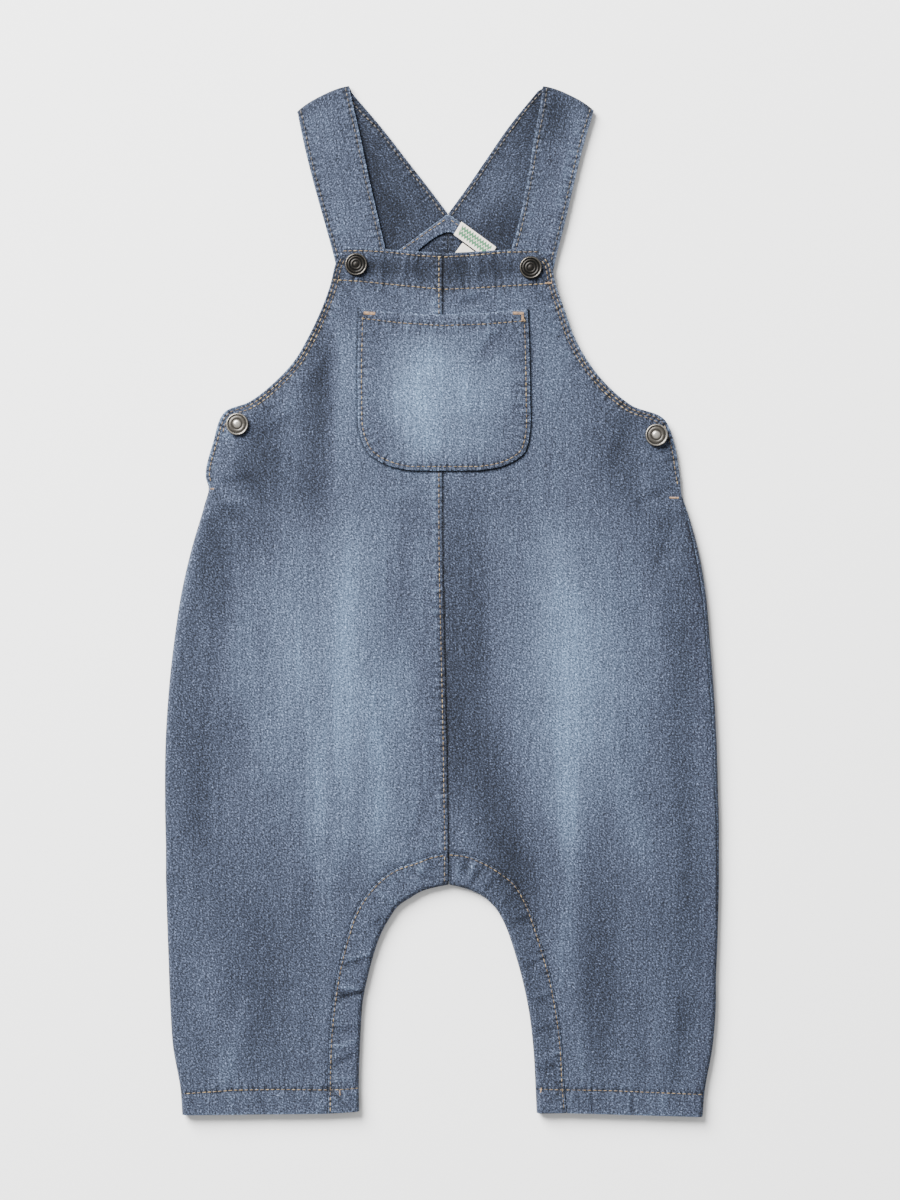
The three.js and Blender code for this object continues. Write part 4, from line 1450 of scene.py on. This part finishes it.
        # The inside of the back, seen in the neck, is darkened with painted shade
        shown = np.where(points[:, 1] > INSIDE_NECK, PIECE_FADE_AND_SHADE["back_inside"], PIECE_FADE_AND_SHADE["back"])
        fade = washed(points[:, 0], points[:, 1], FADES_AND_SHADE[:THIGH_FADES]) * 0.6 + shown
        return Cloth(
            node=f"back_{self.side.word}",
            outer=grid,
            thickness=DENIM,
            faces_up=False,
            fade=fade.reshape(rows, columns),
            edge=boundary(grid),
            seams=[beside(seam, -self.side.value * 2.0)],
            # The centre seam's groove, darkened as a painted shade line
            lines=[seam],
            upright=True,
        )

    def under_seams(self) -> dict[str, Array]:
        """The rows of topstitching of this half's underside."""
        seam, edge, first_leg = self.rows(BACK_TOP + BODY[FIRST_SEWN_ROW:], BACK_STEP)
        leg = LEGS[self.side]
        hem = np.array([(leg[-2].edge_x, leg[-2].edge_y), (leg[-2].seam_x, leg[-2].seam_y)])
        hem[0, 0] -= self.side.value * 4.0
        return {
            "centre": beside(seam[3:first_leg], -self.side.value * 2.0),
            "hem": hem,
            "band": beside(seam[first_leg:], -self.side.value * 1.6),
            "side": beside(edge[edge[:, 1] > 60][2:], self.side.value * 3.2),
        }

    def band(self) -> Cloth:
        """The inner-leg band: over the top, round the fold and underneath."""
        leg = LEGS[self.side]
        dense = through([(row.seam_x, row.seam_y, row.fold_x, row.fold_y) for row in leg], FINE_STEP)
        seam, fold = dense[:, :2], dense[:, 2:]
        joined = beside(seam, self.side.value * LAYER_GAP / 2)
        joined[0, 0] += self.side.value * LAYER_GAP / 2
        fold[0, 0] += self.side.value * LAYER_GAP / 2
        inward = unit(joined - fold)
        arc_start = fold + inward * FOLD_RADIUS
        flat = np.linspace(0, 1, 13, endpoint=False)
        level = np.full(len(seam), LEG_HEIGHT)
        columns = [np.column_stack([joined + (arc_start - joined) * share, level]) for share in flat]
        centre = np.full(len(seam), FOLD_RADIUS)
        for degrees in np.linspace(90, -90, 13):
            columns.append(arc_pair(fold, inward, centre, np.full(len(seam), degrees)))
        for share in np.linspace(0, 1, 7)[1:]:
            columns.append(np.column_stack([arc_start + (joined - arc_start) * share, level * 0]))
        grid = np.stack(columns, axis=1)
        rows, count, _ = grid.shape
        points = grid.reshape(-1, 3)
        x, y = points[:, 0].copy(), points[:, 1].copy()
        away, along = near(points[:, :2], seam)
        on_top = smooth_step((points[:, 2] - 2.0) / 2.5)
        turned = self.hem_lift(x, y)
        lift = swell(x, y, BAND_CREASES) + turned
        lift += BAND_EDGE.lift(np.abs(away), along, 4.0)
        points[:, 2] += lift * on_top
        shape = (rows, count)
        # Paler on the band's raised creases and darker in its troughs and stitched groove: partly rubbed
        # wear, partly painted light and shade
        fade = washed(x, y, FADES_AND_SHADE) + PIECE_FADE_AND_SHADE["band"] + RELIEF_WEAR_AND_SHADE * (lift - np.maximum(turned, 0))
        sewn = {"band": beside(seam, self.side.value * 1.25)}
        sewn |= {name: np.array(row) for name, row in SEWN_ROWS[self.side].items() if name.startswith("band")}
        self.seams |= sewn
        return Cloth(
            node=f"inner_leg_band_{self.side.word}",
            outer=points.reshape(rows, count, 3),
            thickness=DENIM,
            fade=fade.reshape(shape),
            edge=(boundary(grid) + 0.3).reshape(shape),
            seams=list(sewn.values()),
            lines=[np.array(CROTCH_SEAM)],
        )


@dataclass
class Strap:
    """A shoulder strap in one length, folded over at the shoulder."""

    side: Side

    def sections(self) -> tuple[Array, Array, Array, int]:
        """The strap's outer face from its back seam to its end under the bib.

        Returns:
            The outer edge's points, the inner edge's points, the level of each section, and the
            number of the section at the middle of the fold.
        """
        route = STRAPS[self.side]
        radius = (2 * STRAP_CLOTH + RUN_GAP) / 2
        back = through(route.back, STRAP_STEP)
        front = through(route.front, STRAP_STEP)
        crease = np.array([[route.crease.out_x, route.crease.out_y], [route.crease.in_x, route.crease.in_y]])
        along = unit(crease[1] - crease[0])
        away = np.array([-along[1], along[0]]) * -self.side.value
        bend = []
        for degrees in np.linspace(-78, 78, 9):
            inset = radius * math.cos(math.radians(degrees)) - radius
            place = (crease + away * inset).ravel()
            bend.append((*place, radius + radius * math.sin(math.radians(degrees))))
        bend = np.array(bend)
        under = np.interp(front[:, 3], *zip(*STRAP_SEAT))
        levels = np.concatenate([np.zeros(len(back)), bend[:, 4], under + STRAP_CLOTH])
        plan = np.vstack([back, bend[:, :4], front])
        return plan[:, :2], plan[:, 2:], levels, len(back) + len(bend) // 2

    def cloth(self) -> Cloth:
        """The strap's grid, with its stitched edges pressed down."""
        outer, inner, levels, turn = self.sections()
        count = 25
        shares = np.linspace(0, 1, count)
        plan = outer[:, None, :] + (inner - outer)[:, None, :] * shares[None, :, None]
        tangent = unit(inner[turn] - outer[turn])
        away = np.array([-tangent[1], tangent[0]]) * -self.side.value
        from_fold = np.abs((plan - plan[turn][None, :, :]) @ away)
        swelling = FOLD_BULGE * (1 - np.abs(2 * shares[None, :] - 1) ** 2.6)
        swelling = swelling * bell(from_fold, 7.0)
        plan = plan + swelling[:, :, None] * away
        grid = np.dstack([plan, np.repeat(levels[:, None], count, axis=1)])
        width = np.linalg.norm(inner - outer, axis=1)[:, None]
        across = shares[None, :] * width
        rim = np.minimum(across, width - across)
        walked = np.repeat(walked_along(grid[:, count // 2])[:, None], count, axis=1)
        middle = walked.max() * 0.45
        on_front = smooth_step((walked - middle) / 12)
        press = STRAP_EDGE.lift(rim, walked, 1.0)
        grid[:, :, 2] += on_front * (press + swell(grid[:, :, 0], grid[:, :, 1], STRAP_FOLDS))
        # The front runs' patches carry painted light and shade on their folds; the back runs are darkened
        # with painted shade and painted shadows beside the front runs
        front_fade_and_shade = washed(grid[:, :, 0], grid[:, :, 1], STRAP_FADES_AND_SHADE) + PIECE_FADE_AND_SHADE["strap"]
        back_fade_and_shadow = washed(grid[:, :, 0], grid[:, :, 1], BACK_RUN_FADES_AND_SHADOWS) + PIECE_FADE_AND_SHADE["back_run"]
        paths = self.rows_of_stitches()
        runs = {
            run: nearest(grid[:, :, :2].reshape(-1, 2), [paths[run + "_outer"], paths[run + "_inner"]])
            for run in ("back", "front")
        }
        on_back = np.repeat(np.arange(len(grid))[:, None] < turn, count, axis=1)
        seam, along = (
            np.where(on_back, back.reshape(on_back.shape), front.reshape(on_back.shape))
            for back, front in zip(runs["back"], runs["front"])
        )
        # Paler on the strap edges' puckers and darker in their stitched grooves: partly rubbed wear, partly
        # painted light and shade
        fade = front_fade_and_shade * on_front + back_fade_and_shadow * (1 - on_front) + RELIEF_WEAR_AND_SHADE * on_front * press
        return Cloth(
            node=f"strap_{self.side.word}",
            outer=grid,
            thickness=STRAP_CLOTH,
            fade=fade,
            edge=rim,
            seam=seam,
            along=along,
            weave=np.dstack([across + 60, walked]),
            bevel=0.4,
        )

    def rows_of_stitches(self) -> dict[str, Array]:
        """The paths of the strap's two rows of stitching on each run, seen from above."""
        route = STRAPS[self.side]
        rows = {}
        for run, sections in (("front", [route.crease, *route.front]), ("back", [*route.back, route.crease])):
            dense = through(sections, 3.0)
            outer, inner = dense[:, :2], dense[:, 2:]
            across = unit(inner - outer)
            rows[run + "_outer"] = outer + across * STRAP_ROW_INSET
            rows[run + "_inner"] = inner - across * STRAP_ROW_INSET
        return rows


@dataclass
class BibPocket:
    """The patch pocket on the bib, hemmed at its mouth and stitched round the other sides."""

    def rows(self, step: float) -> Array:
        """The left and the right side's points of each section, from the mouth down."""
        return through([(row.left_x, row.y, row.right_x, row.y) for row in POCKET], step)

    def outline(self) -> Array:
        """The pocket's sides and foot, from the left end of the mouth to the right one."""
        rows = self.rows(2.0)
        return np.vstack([rows[:, :2], rows[::-1, 2:]])

    def seams(self) -> dict[str, Array]:
        """The hem's row and the row round the pocket."""
        return {
            "pocket_hem": np.array(POCKET_HEM),
            "pocket_round": beside(self.outline(), -2.1)[2:-2],
        }

    def cloth(self) -> Cloth:
        """The pocket's grid on the bib, puffed in the middle and pressed at its seams."""
        rows = self.rows(FINE_STEP)
        shares = np.linspace(0, 1, 84)[None, :]
        x = rows[:, :1] + (rows[:, 2:3] - rows[:, :1]) * shares
        down = (rows[0, 1] - rows[:, 1:2]) / (rows[0, 1] - rows[-1, 1])
        y = rows[:, 1:2] - POCKET_MOUTH_SAG * np.sin(math.pi * shares) * (1 - down)
        grid = np.dstack([x, y, level_at(x, y)])
        rim = boundary(grid)
        puff = POCKET_PUFF * np.sin(math.pi * shares) * np.sin(math.pi * down)
        grid[:, :, 2] += POCKET_SEAT + POCKET_CLOTH + puff - 0.30 * bell(rim, 1.2)
        points = grid.reshape(-1, 3)
        for phase, path in enumerate(self.seams().values()):
            points[:, 2] += POCKET_EDGE.lift(*near(points[:, :2], path), phase + 2.0)
        creases = swell(points[:, 0], points[:, 1], POCKET_CREASES)
        points[:, 2] += creases
        return Cloth(
            node="bib_pocket",
            outer=grid,
            thickness=POCKET_CLOTH,
            # Paler on the pocket's raised creases and darker in their troughs: partly rubbed wear, partly
            # painted light and shade
            fade=washed(x, y, FADES_AND_SHADE) + PIECE_FADE_AND_SHADE["pocket"] + RELIEF_WEAR_AND_SHADE * creases.reshape(x.shape),
            edge=rim,
            seams=list(self.seams().values()),
            bevel=0.3,
            upright=True,
        )


@dataclass
class NeckFacing:
    """The facing inside the neck of the back."""

    def cloth(self) -> Cloth:
        """The strip of facing below the strap seam, with a folded lower edge."""
        dense = through([(x, top, x, bottom) for x, top, bottom in NECK_FACING], FINE_STEP)
        shares = np.linspace(0, 1, 9)[None, :]
        x = dense[:, :1] + (dense[:, 2:3] - dense[:, :1]) * shares
        y = dense[:, 1:2] + (dense[:, 3:4] - dense[:, 1:2]) * shares
        grid = np.dstack([x, y, np.full(x.shape, DENIM + LAYER_GAP + FACING_CLOTH)])
        rim = boundary(grid)
        along = np.repeat(np.arange(len(dense))[:, None] * FINE_STEP, 9, axis=1)
        grid[:, :, 2] += 0.12 * ripple(along, 7.0, 1.0) - 0.10 * bell(rim, 0.9)
        fade = PIECE_FADE_AND_SHADE["facing"] - 0.25 * bell(x + 21, 9) - 0.20 * bell(x - 24, 10)
        return Cloth(
            node="back_neck_facing",
            outer=grid,
            thickness=FACING_CLOTH,
            fade=fade,
            edge=rim,
            bevel=0.3,
        )


@dataclass(frozen=True)
class NeckTape:
    """A short woven tape in the neck, which bows up a little off the facing.

    It has the two ends of its upper edge, the step from there to its lower edge, and its rise.
    """

    node: str
    left: tuple[float, float]
    right: tuple[float, float]
    drop: tuple[float, float]
    bow: float
    finish: LabelTape

    def cloth(self) -> Cloth:
        """The tape's grid, from its sewn upper edge down."""
        (x0, y0), (x1, y1) = self.left, self.right
        across = np.linspace(0, 1, 25)[None, :]
        down = np.linspace(0, 1, 11)[:, None]
        x = x0 + (x1 - x0) * across + self.drop[0] * down
        y = y0 + (y1 - y0) * across + self.drop[1] * down
        level = DENIM + FACING_CLOTH + 2 * LAYER_GAP + LABEL_CLOTH
        z = level + self.bow * np.sin(math.pi * down) * (0.6 + 0.4 * np.cos(2 * math.pi * across)) + 0 * x
        width, height = math.hypot(x1 - x0, y1 - y0), math.hypot(*self.drop)
        return Cloth(
            node=self.node,
            kind="tape",
            outer=np.dstack([x, y, z]),
            thickness=LABEL_CLOTH,
            weave=np.dstack([across * width + 0 * x, down * height + 0 * x]),
            bevel=0.12,
            slot="label_tape",
        )


TAPES = [
    NeckTape("neck_label", (10.4, 202.3), (29.0, 188.7), (-4.1, -7.0), 0.4, LabelTape("label_tape")),
    NeckTape(
        "neck_tag", (11.0, 191.0), (24.2, 181.3), (-5.3, -7.2), 0.25, LabelTape("plain_tape", marked=False)
    ),
]


@dataclass
class SnapCap:
    """A pressed metal cap, turned from a profile of rings."""

    node: str
    x: float
    y: float
    raised: bool
    radius: float = 6.0
    height: float = 2.0

    def profile(self) -> list[tuple[float, float]]:
        """The cap's rings from the foot to the middle: shares of the radius and of the height."""
        rim = [
            (0.90, 0.0), (0.98, 0.18), (1.0, 0.42), (0.985, 0.62), (0.95, 0.80), (0.90, 0.86), (0.85, 0.78),
        ]
        if self.raised:
            return [
                *rim, (0.81, 0.58), (0.76, 0.56), (0.70, 0.66), (0.58, 0.70), (0.50, 0.66), (0.46, 0.58),
                (0.41, 0.60), (0.36, 0.78), (0.28, 0.92), (0.16, 0.98), (0.0, 1.0),
            ]
        return [
            *rim, (0.81, 0.52), (0.76, 0.50), (0.72, 0.62), (0.66, 0.66), (0.60, 0.60), (0.55, 0.48),
            (0.50, 0.50), (0.45, 0.64), (0.38, 0.66), (0.32, 0.56), (0.26, 0.54), (0.20, 0.64), (0.0, 0.65),
        ]

    def build(self, material: bpy.types.Material) -> bpy.types.Object:
        """Turns the cap and sets it on the cloth."""
        bm = bmesh.new()
        profile = [(r * self.radius * MM, h * self.height * MM) for r, h in self.profile()]
        chain = [bm.verts.new((r, 0.0, h)) for r, h in [(0.0, 0.0), *profile]]
        edges = [bm.edges.new(pair) for pair in zip(chain[:-1], chain[1:])]
        bmesh.ops.spin(
            bm, geom=[*chain, *edges], axis=(0, 0, 1), cent=(0, 0, 0), dvec=(0, 0, 0),
            angle=2 * math.pi, steps=56, space=Matrix.Identity(4), use_merge=True, use_duplicate=False,
            use_normal_flip=False,
        )
        bmesh.ops.remove_doubles(bm, verts=bm.verts[:], dist=1e-6)
        bmesh.ops.recalc_face_normals(bm, faces=bm.faces[:])
        heights = np.array([v.co.z for v in bm.verts]) / (self.height * MM)
        level = float(level_at(np.array([self.x]), np.array([self.y]))[0]) + LAYER_GAP
        bmesh.ops.translate(bm, verts=bm.verts[:], vec=(self.x * MM, self.y * MM, level * MM))
        cap = placed(self.node + "_cap", bm, material)
        layer = cap.data.attributes.new("relief", "FLOAT", "POINT")
        low, high = (0.5, 1.0) if self.raised else (0.52, 0.86)
        layer.data.foreach_set("value", np.clip((heights - low) / (high - low), 0, 1).astype(np.float32))
        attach(cap, "root")
        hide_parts(self.node)
        return cap


# The caps by the cloth that they are set on, and the metals of the flat and of the raised ones
CAPS = {
    "front_left": [
        SnapCap("snap_bib_left", -45.6, 179.2, False),
        SnapCap("snap_side_left", -108.8, 94.3, True),
    ],
    "front_right": [
        SnapCap("snap_bib_right", 47.2, 177.5, False),
        SnapCap("snap_side_right", 114.1, 88.5, True),
    ],
}
CAP_METALS = {
    False: SnapMetal("gunmetal", (0.005, 0.005, 0.005), (0.024, 0.021, 0.018), (0.095, 0.087, 0.076)),
    True: SnapMetal("old_silver", (0.016, 0.014, 0.012), (0.115, 0.106, 0.093), (0.42, 0.395, 0.35)),
}
THREADS = {
    Sewn.CHUNKY: Thread("strap_thread", (0.13, 0.104, 0.072), (0.056, 0.048, 0.039), (0.026, 0.024, 0.023)),
    Sewn.FINE: Thread("topstitch_thread", (0.34, 0.250, 0.115), (0.140, 0.094, 0.043), (0.046, 0.034, 0.023)),
    Sewn.SATIN: Thread("tack_thread", (0.46, 0.31, 0.17), (0.30, 0.175, 0.088), (0.11, 0.068, 0.040)),
}


@dataclass
class Needle:
    """Sews rows of stitches onto finished pieces."""

    threads: dict[Sewn, bpy.types.Material]
    rng: np.random.Generator
    surfaces: dict[str, BVHTree] = field(default_factory=dict)
    sewn: dict[str, list[bpy.types.Object]] = field(default_factory=dict)

    def surface(self, piece: bpy.types.Object) -> BVHTree:
        """The finished surface of a piece."""
        if piece.name not in self.surfaces:
            self.surfaces[piece.name] = BVHTree.FromObject(piece, bpy.context.evaluated_depsgraph_get())
        return self.surfaces[piece.name]

    def row(
        self,
        piece: bpy.types.Object,
        name: str,
        path: Array,
        sewn: Sewn = Sewn.FINE,
        start: float = LOOK_FROM,
    ) -> bpy.types.Object | None:
        """Sews a row along a path of the plan.

        Args:
            piece: The cloth that it is sewn to.
            name: The row's name.
            path: The row's route from above, in millimetres.
            sewn: The kind of stitching.
            start: The height to look for the cloth from: above it, or below it for the underside.

        Returns:
            The row of stitches.
        """
        walked = walked_along(path)
        centres = np.arange(0.5, walked[-1] / sewn.pitch) * sewn.pitch
        half = sewn.length / 2 * self.rng.uniform(0.86, 1.06, len(centres))
        firsts, lasts = (
            np.column_stack([np.interp(place, walked, path[:, k]) for k in (0, 1)])
            for place in (centres - half, centres + half)
        )
        return self.stitches(piece, name, list(zip(firsts, lasts)), sewn, start)

    def bar(self, piece: bpy.types.Object, tack: Tack) -> bpy.types.Object | None:
        """Sews a bar tack: short stitches side by side across a line."""
        a, b = np.array([tack.x0, tack.y0]), np.array([tack.x1, tack.y1])
        along = unit(b - a)
        across = np.array([-along[1], along[0]]) * tack.width / 2
        count = max(3, round(float(np.linalg.norm(b - a)) / Sewn.SATIN.pitch))
        middles = [a + (b - a) * (k + 0.5) / count for k in range(count)]
        return self.stitches(
            piece, tack.name, [(m - across, m + across) for m in middles], Sewn.SATIN, LOOK_FROM
        )

    def on(self, piece: bpy.types.Object, place: Array, start: float, sewn: Sewn) -> Vector | None:
        """The point of the cloth's face at a place of the plan, a little way out of it."""
        way = -1.0 if start > 0 else 1.0
        hit = self.surface(piece).ray_cast(
            Vector((place[0] * MM, place[1] * MM, start * MM)), Vector((0.0, 0.0, way))
        )[0]
        return None if hit is None else hit - Vector((0.0, 0.0, way)) * sewn.radius * 0.30 * MM

    def stitches(
        self, piece: bpy.types.Object, name: str, ends: list, sewn: Sewn, start: float
    ) -> bpy.types.Object | None:
        """Makes one mesh of stitches between pairs of places, wherever both find the cloth."""
        found = [[self.on(piece, place, start, sewn) for place in pair] for pair in ends]
        pairs = [pair for pair in found if pair[0] and pair[1]]
        if not pairs:
            log.warning("%s has no stitches", name)
            return None
        bm = bmesh.new()
        for a, b in pairs:
            turn = (b - a).to_track_quat("Z", "Y")
            radius = sewn.radius * MM * self.rng.uniform(0.88, 1.1)
            size = Vector((radius, radius, (b - a).length / 2))
            bmesh.ops.create_uvsphere(
                bm, u_segments=6, v_segments=5, radius=1.0, matrix=Matrix.LocRotScale((a + b) / 2, turn, size)
            )
        row = placed(name, bm, self.threads[sewn])
        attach(row, "root")
        self.sewn.setdefault(piece.name, []).append(row)
        return row


def sew(needle: Needle, pieces: dict[str, bpy.types.Object], halves: dict[Side, BodyHalf]) -> None:
    """Sews every row and bar that shows, and the rows of the underside."""
    for side, half in halves.items():
        word = side.word
        for name, path in half.seams.items():
            on_band = name.startswith("band")
            piece = pieces[("band_" if on_band else "front_") + word]
            needle.row(piece, f"stitches_{name}_{word}", path)
        strap = pieces["strap_" + word]
        for name, path in Strap(side).rows_of_stitches().items():
            top = LOOK_FROM if name.startswith("front") else STRAP_CLOTH + 0.1
            needle.row(strap, f"stitches_strap_{name}_{word}", path, Sewn.CHUNKY, top)
            if name.startswith("back"):
                needle.row(strap, f"stitches_under_strap_{name}_{word}", path, Sewn.CHUNKY, -LOOK_FROM)
        back = pieces["back_" + word]
        for name, path in half.under_seams().items():
            needle.row(back, f"stitches_under_{name}_{word}", path, Sewn.FINE, -LOOK_FROM)
    for name, path in BibPocket().seams().items():
        needle.row(pieces["pocket"], f"stitches_{name}", path)
    for tack in TACKS:
        needle.bar(pieces[tack.cloth], tack)
    for word, path in FACING_ROWS.items():
        needle.row(pieces["facing"], "stitches_facing_" + word, np.array(path))


def main() -> None:
    """Builds the garment piece by piece, then the ground, the light and the camera."""
    logging.basicConfig(level=logging.INFO, format="%(name)s %(message)s")
    chambray = Chambray().material()
    cloths: dict[str, Cloth] = {}
    halves = {side: BodyHalf(side) for side in Side}
    for side, half in halves.items():
        word = side.word
        cloths["back_" + word] = half.back()
        cloths["front_" + word] = half.front()
        cloths["band_" + word] = half.band()
        cloths["strap_" + word] = Strap(side).cloth()
    cloths["pocket"] = BibPocket().cloth()
    cloths["facing"] = NeckFacing().cloth()
    pieces = {name: cloth.build(chambray) for name, cloth in cloths.items()}
    extras = {"facing": [tape.cloth().build(tape.finish.material()) for tape in TAPES]}
    metals = {raised: metal.material() for raised, metal in CAP_METALS.items()}
    for name, caps in CAPS.items():
        extras[name] = [cap.build(metals[cap.raised]) for cap in caps]
    threads = {sewn: thread.material() for sewn, thread in THREADS.items()}
    needle = Needle(threads, np.random.default_rng(SEED))
    sew(needle, pieces, halves)
    declare(cloths, pieces, needle, extras)
    Ground().build()
    Studio().build()


def declare(
    cloths: dict[str, Cloth], pieces: dict[str, bpy.types.Object], needle: Needle, extras: dict[str, list]
) -> None:
    """Works out for each cloth what it rests on, the size of its cut and what is sewn to it, and logs the
    cut's size.
    """
    under = {"front": "back", "pocket": "front_left", "facing": "back_left"}
    for name, cloth in cloths.items():
        kind, _, word = name.partition("_")
        below = under.get(kind)
        rests = "ground" if below is None else pieces[below if "_" in below else f"{below}_{word}"].name
        width, length = (max(side, SMALLEST_CUT * MM) for side in cloth.flat_size())
        sewn = needle.sewn.get(pieces[name].name, []) + extras.get(name, [])
        cloth.flat_area()
        log.info("%s is cut from %.0f x %.0f mm", name, width / MM, length / MM)


if __name__ == "__main__":
    main()
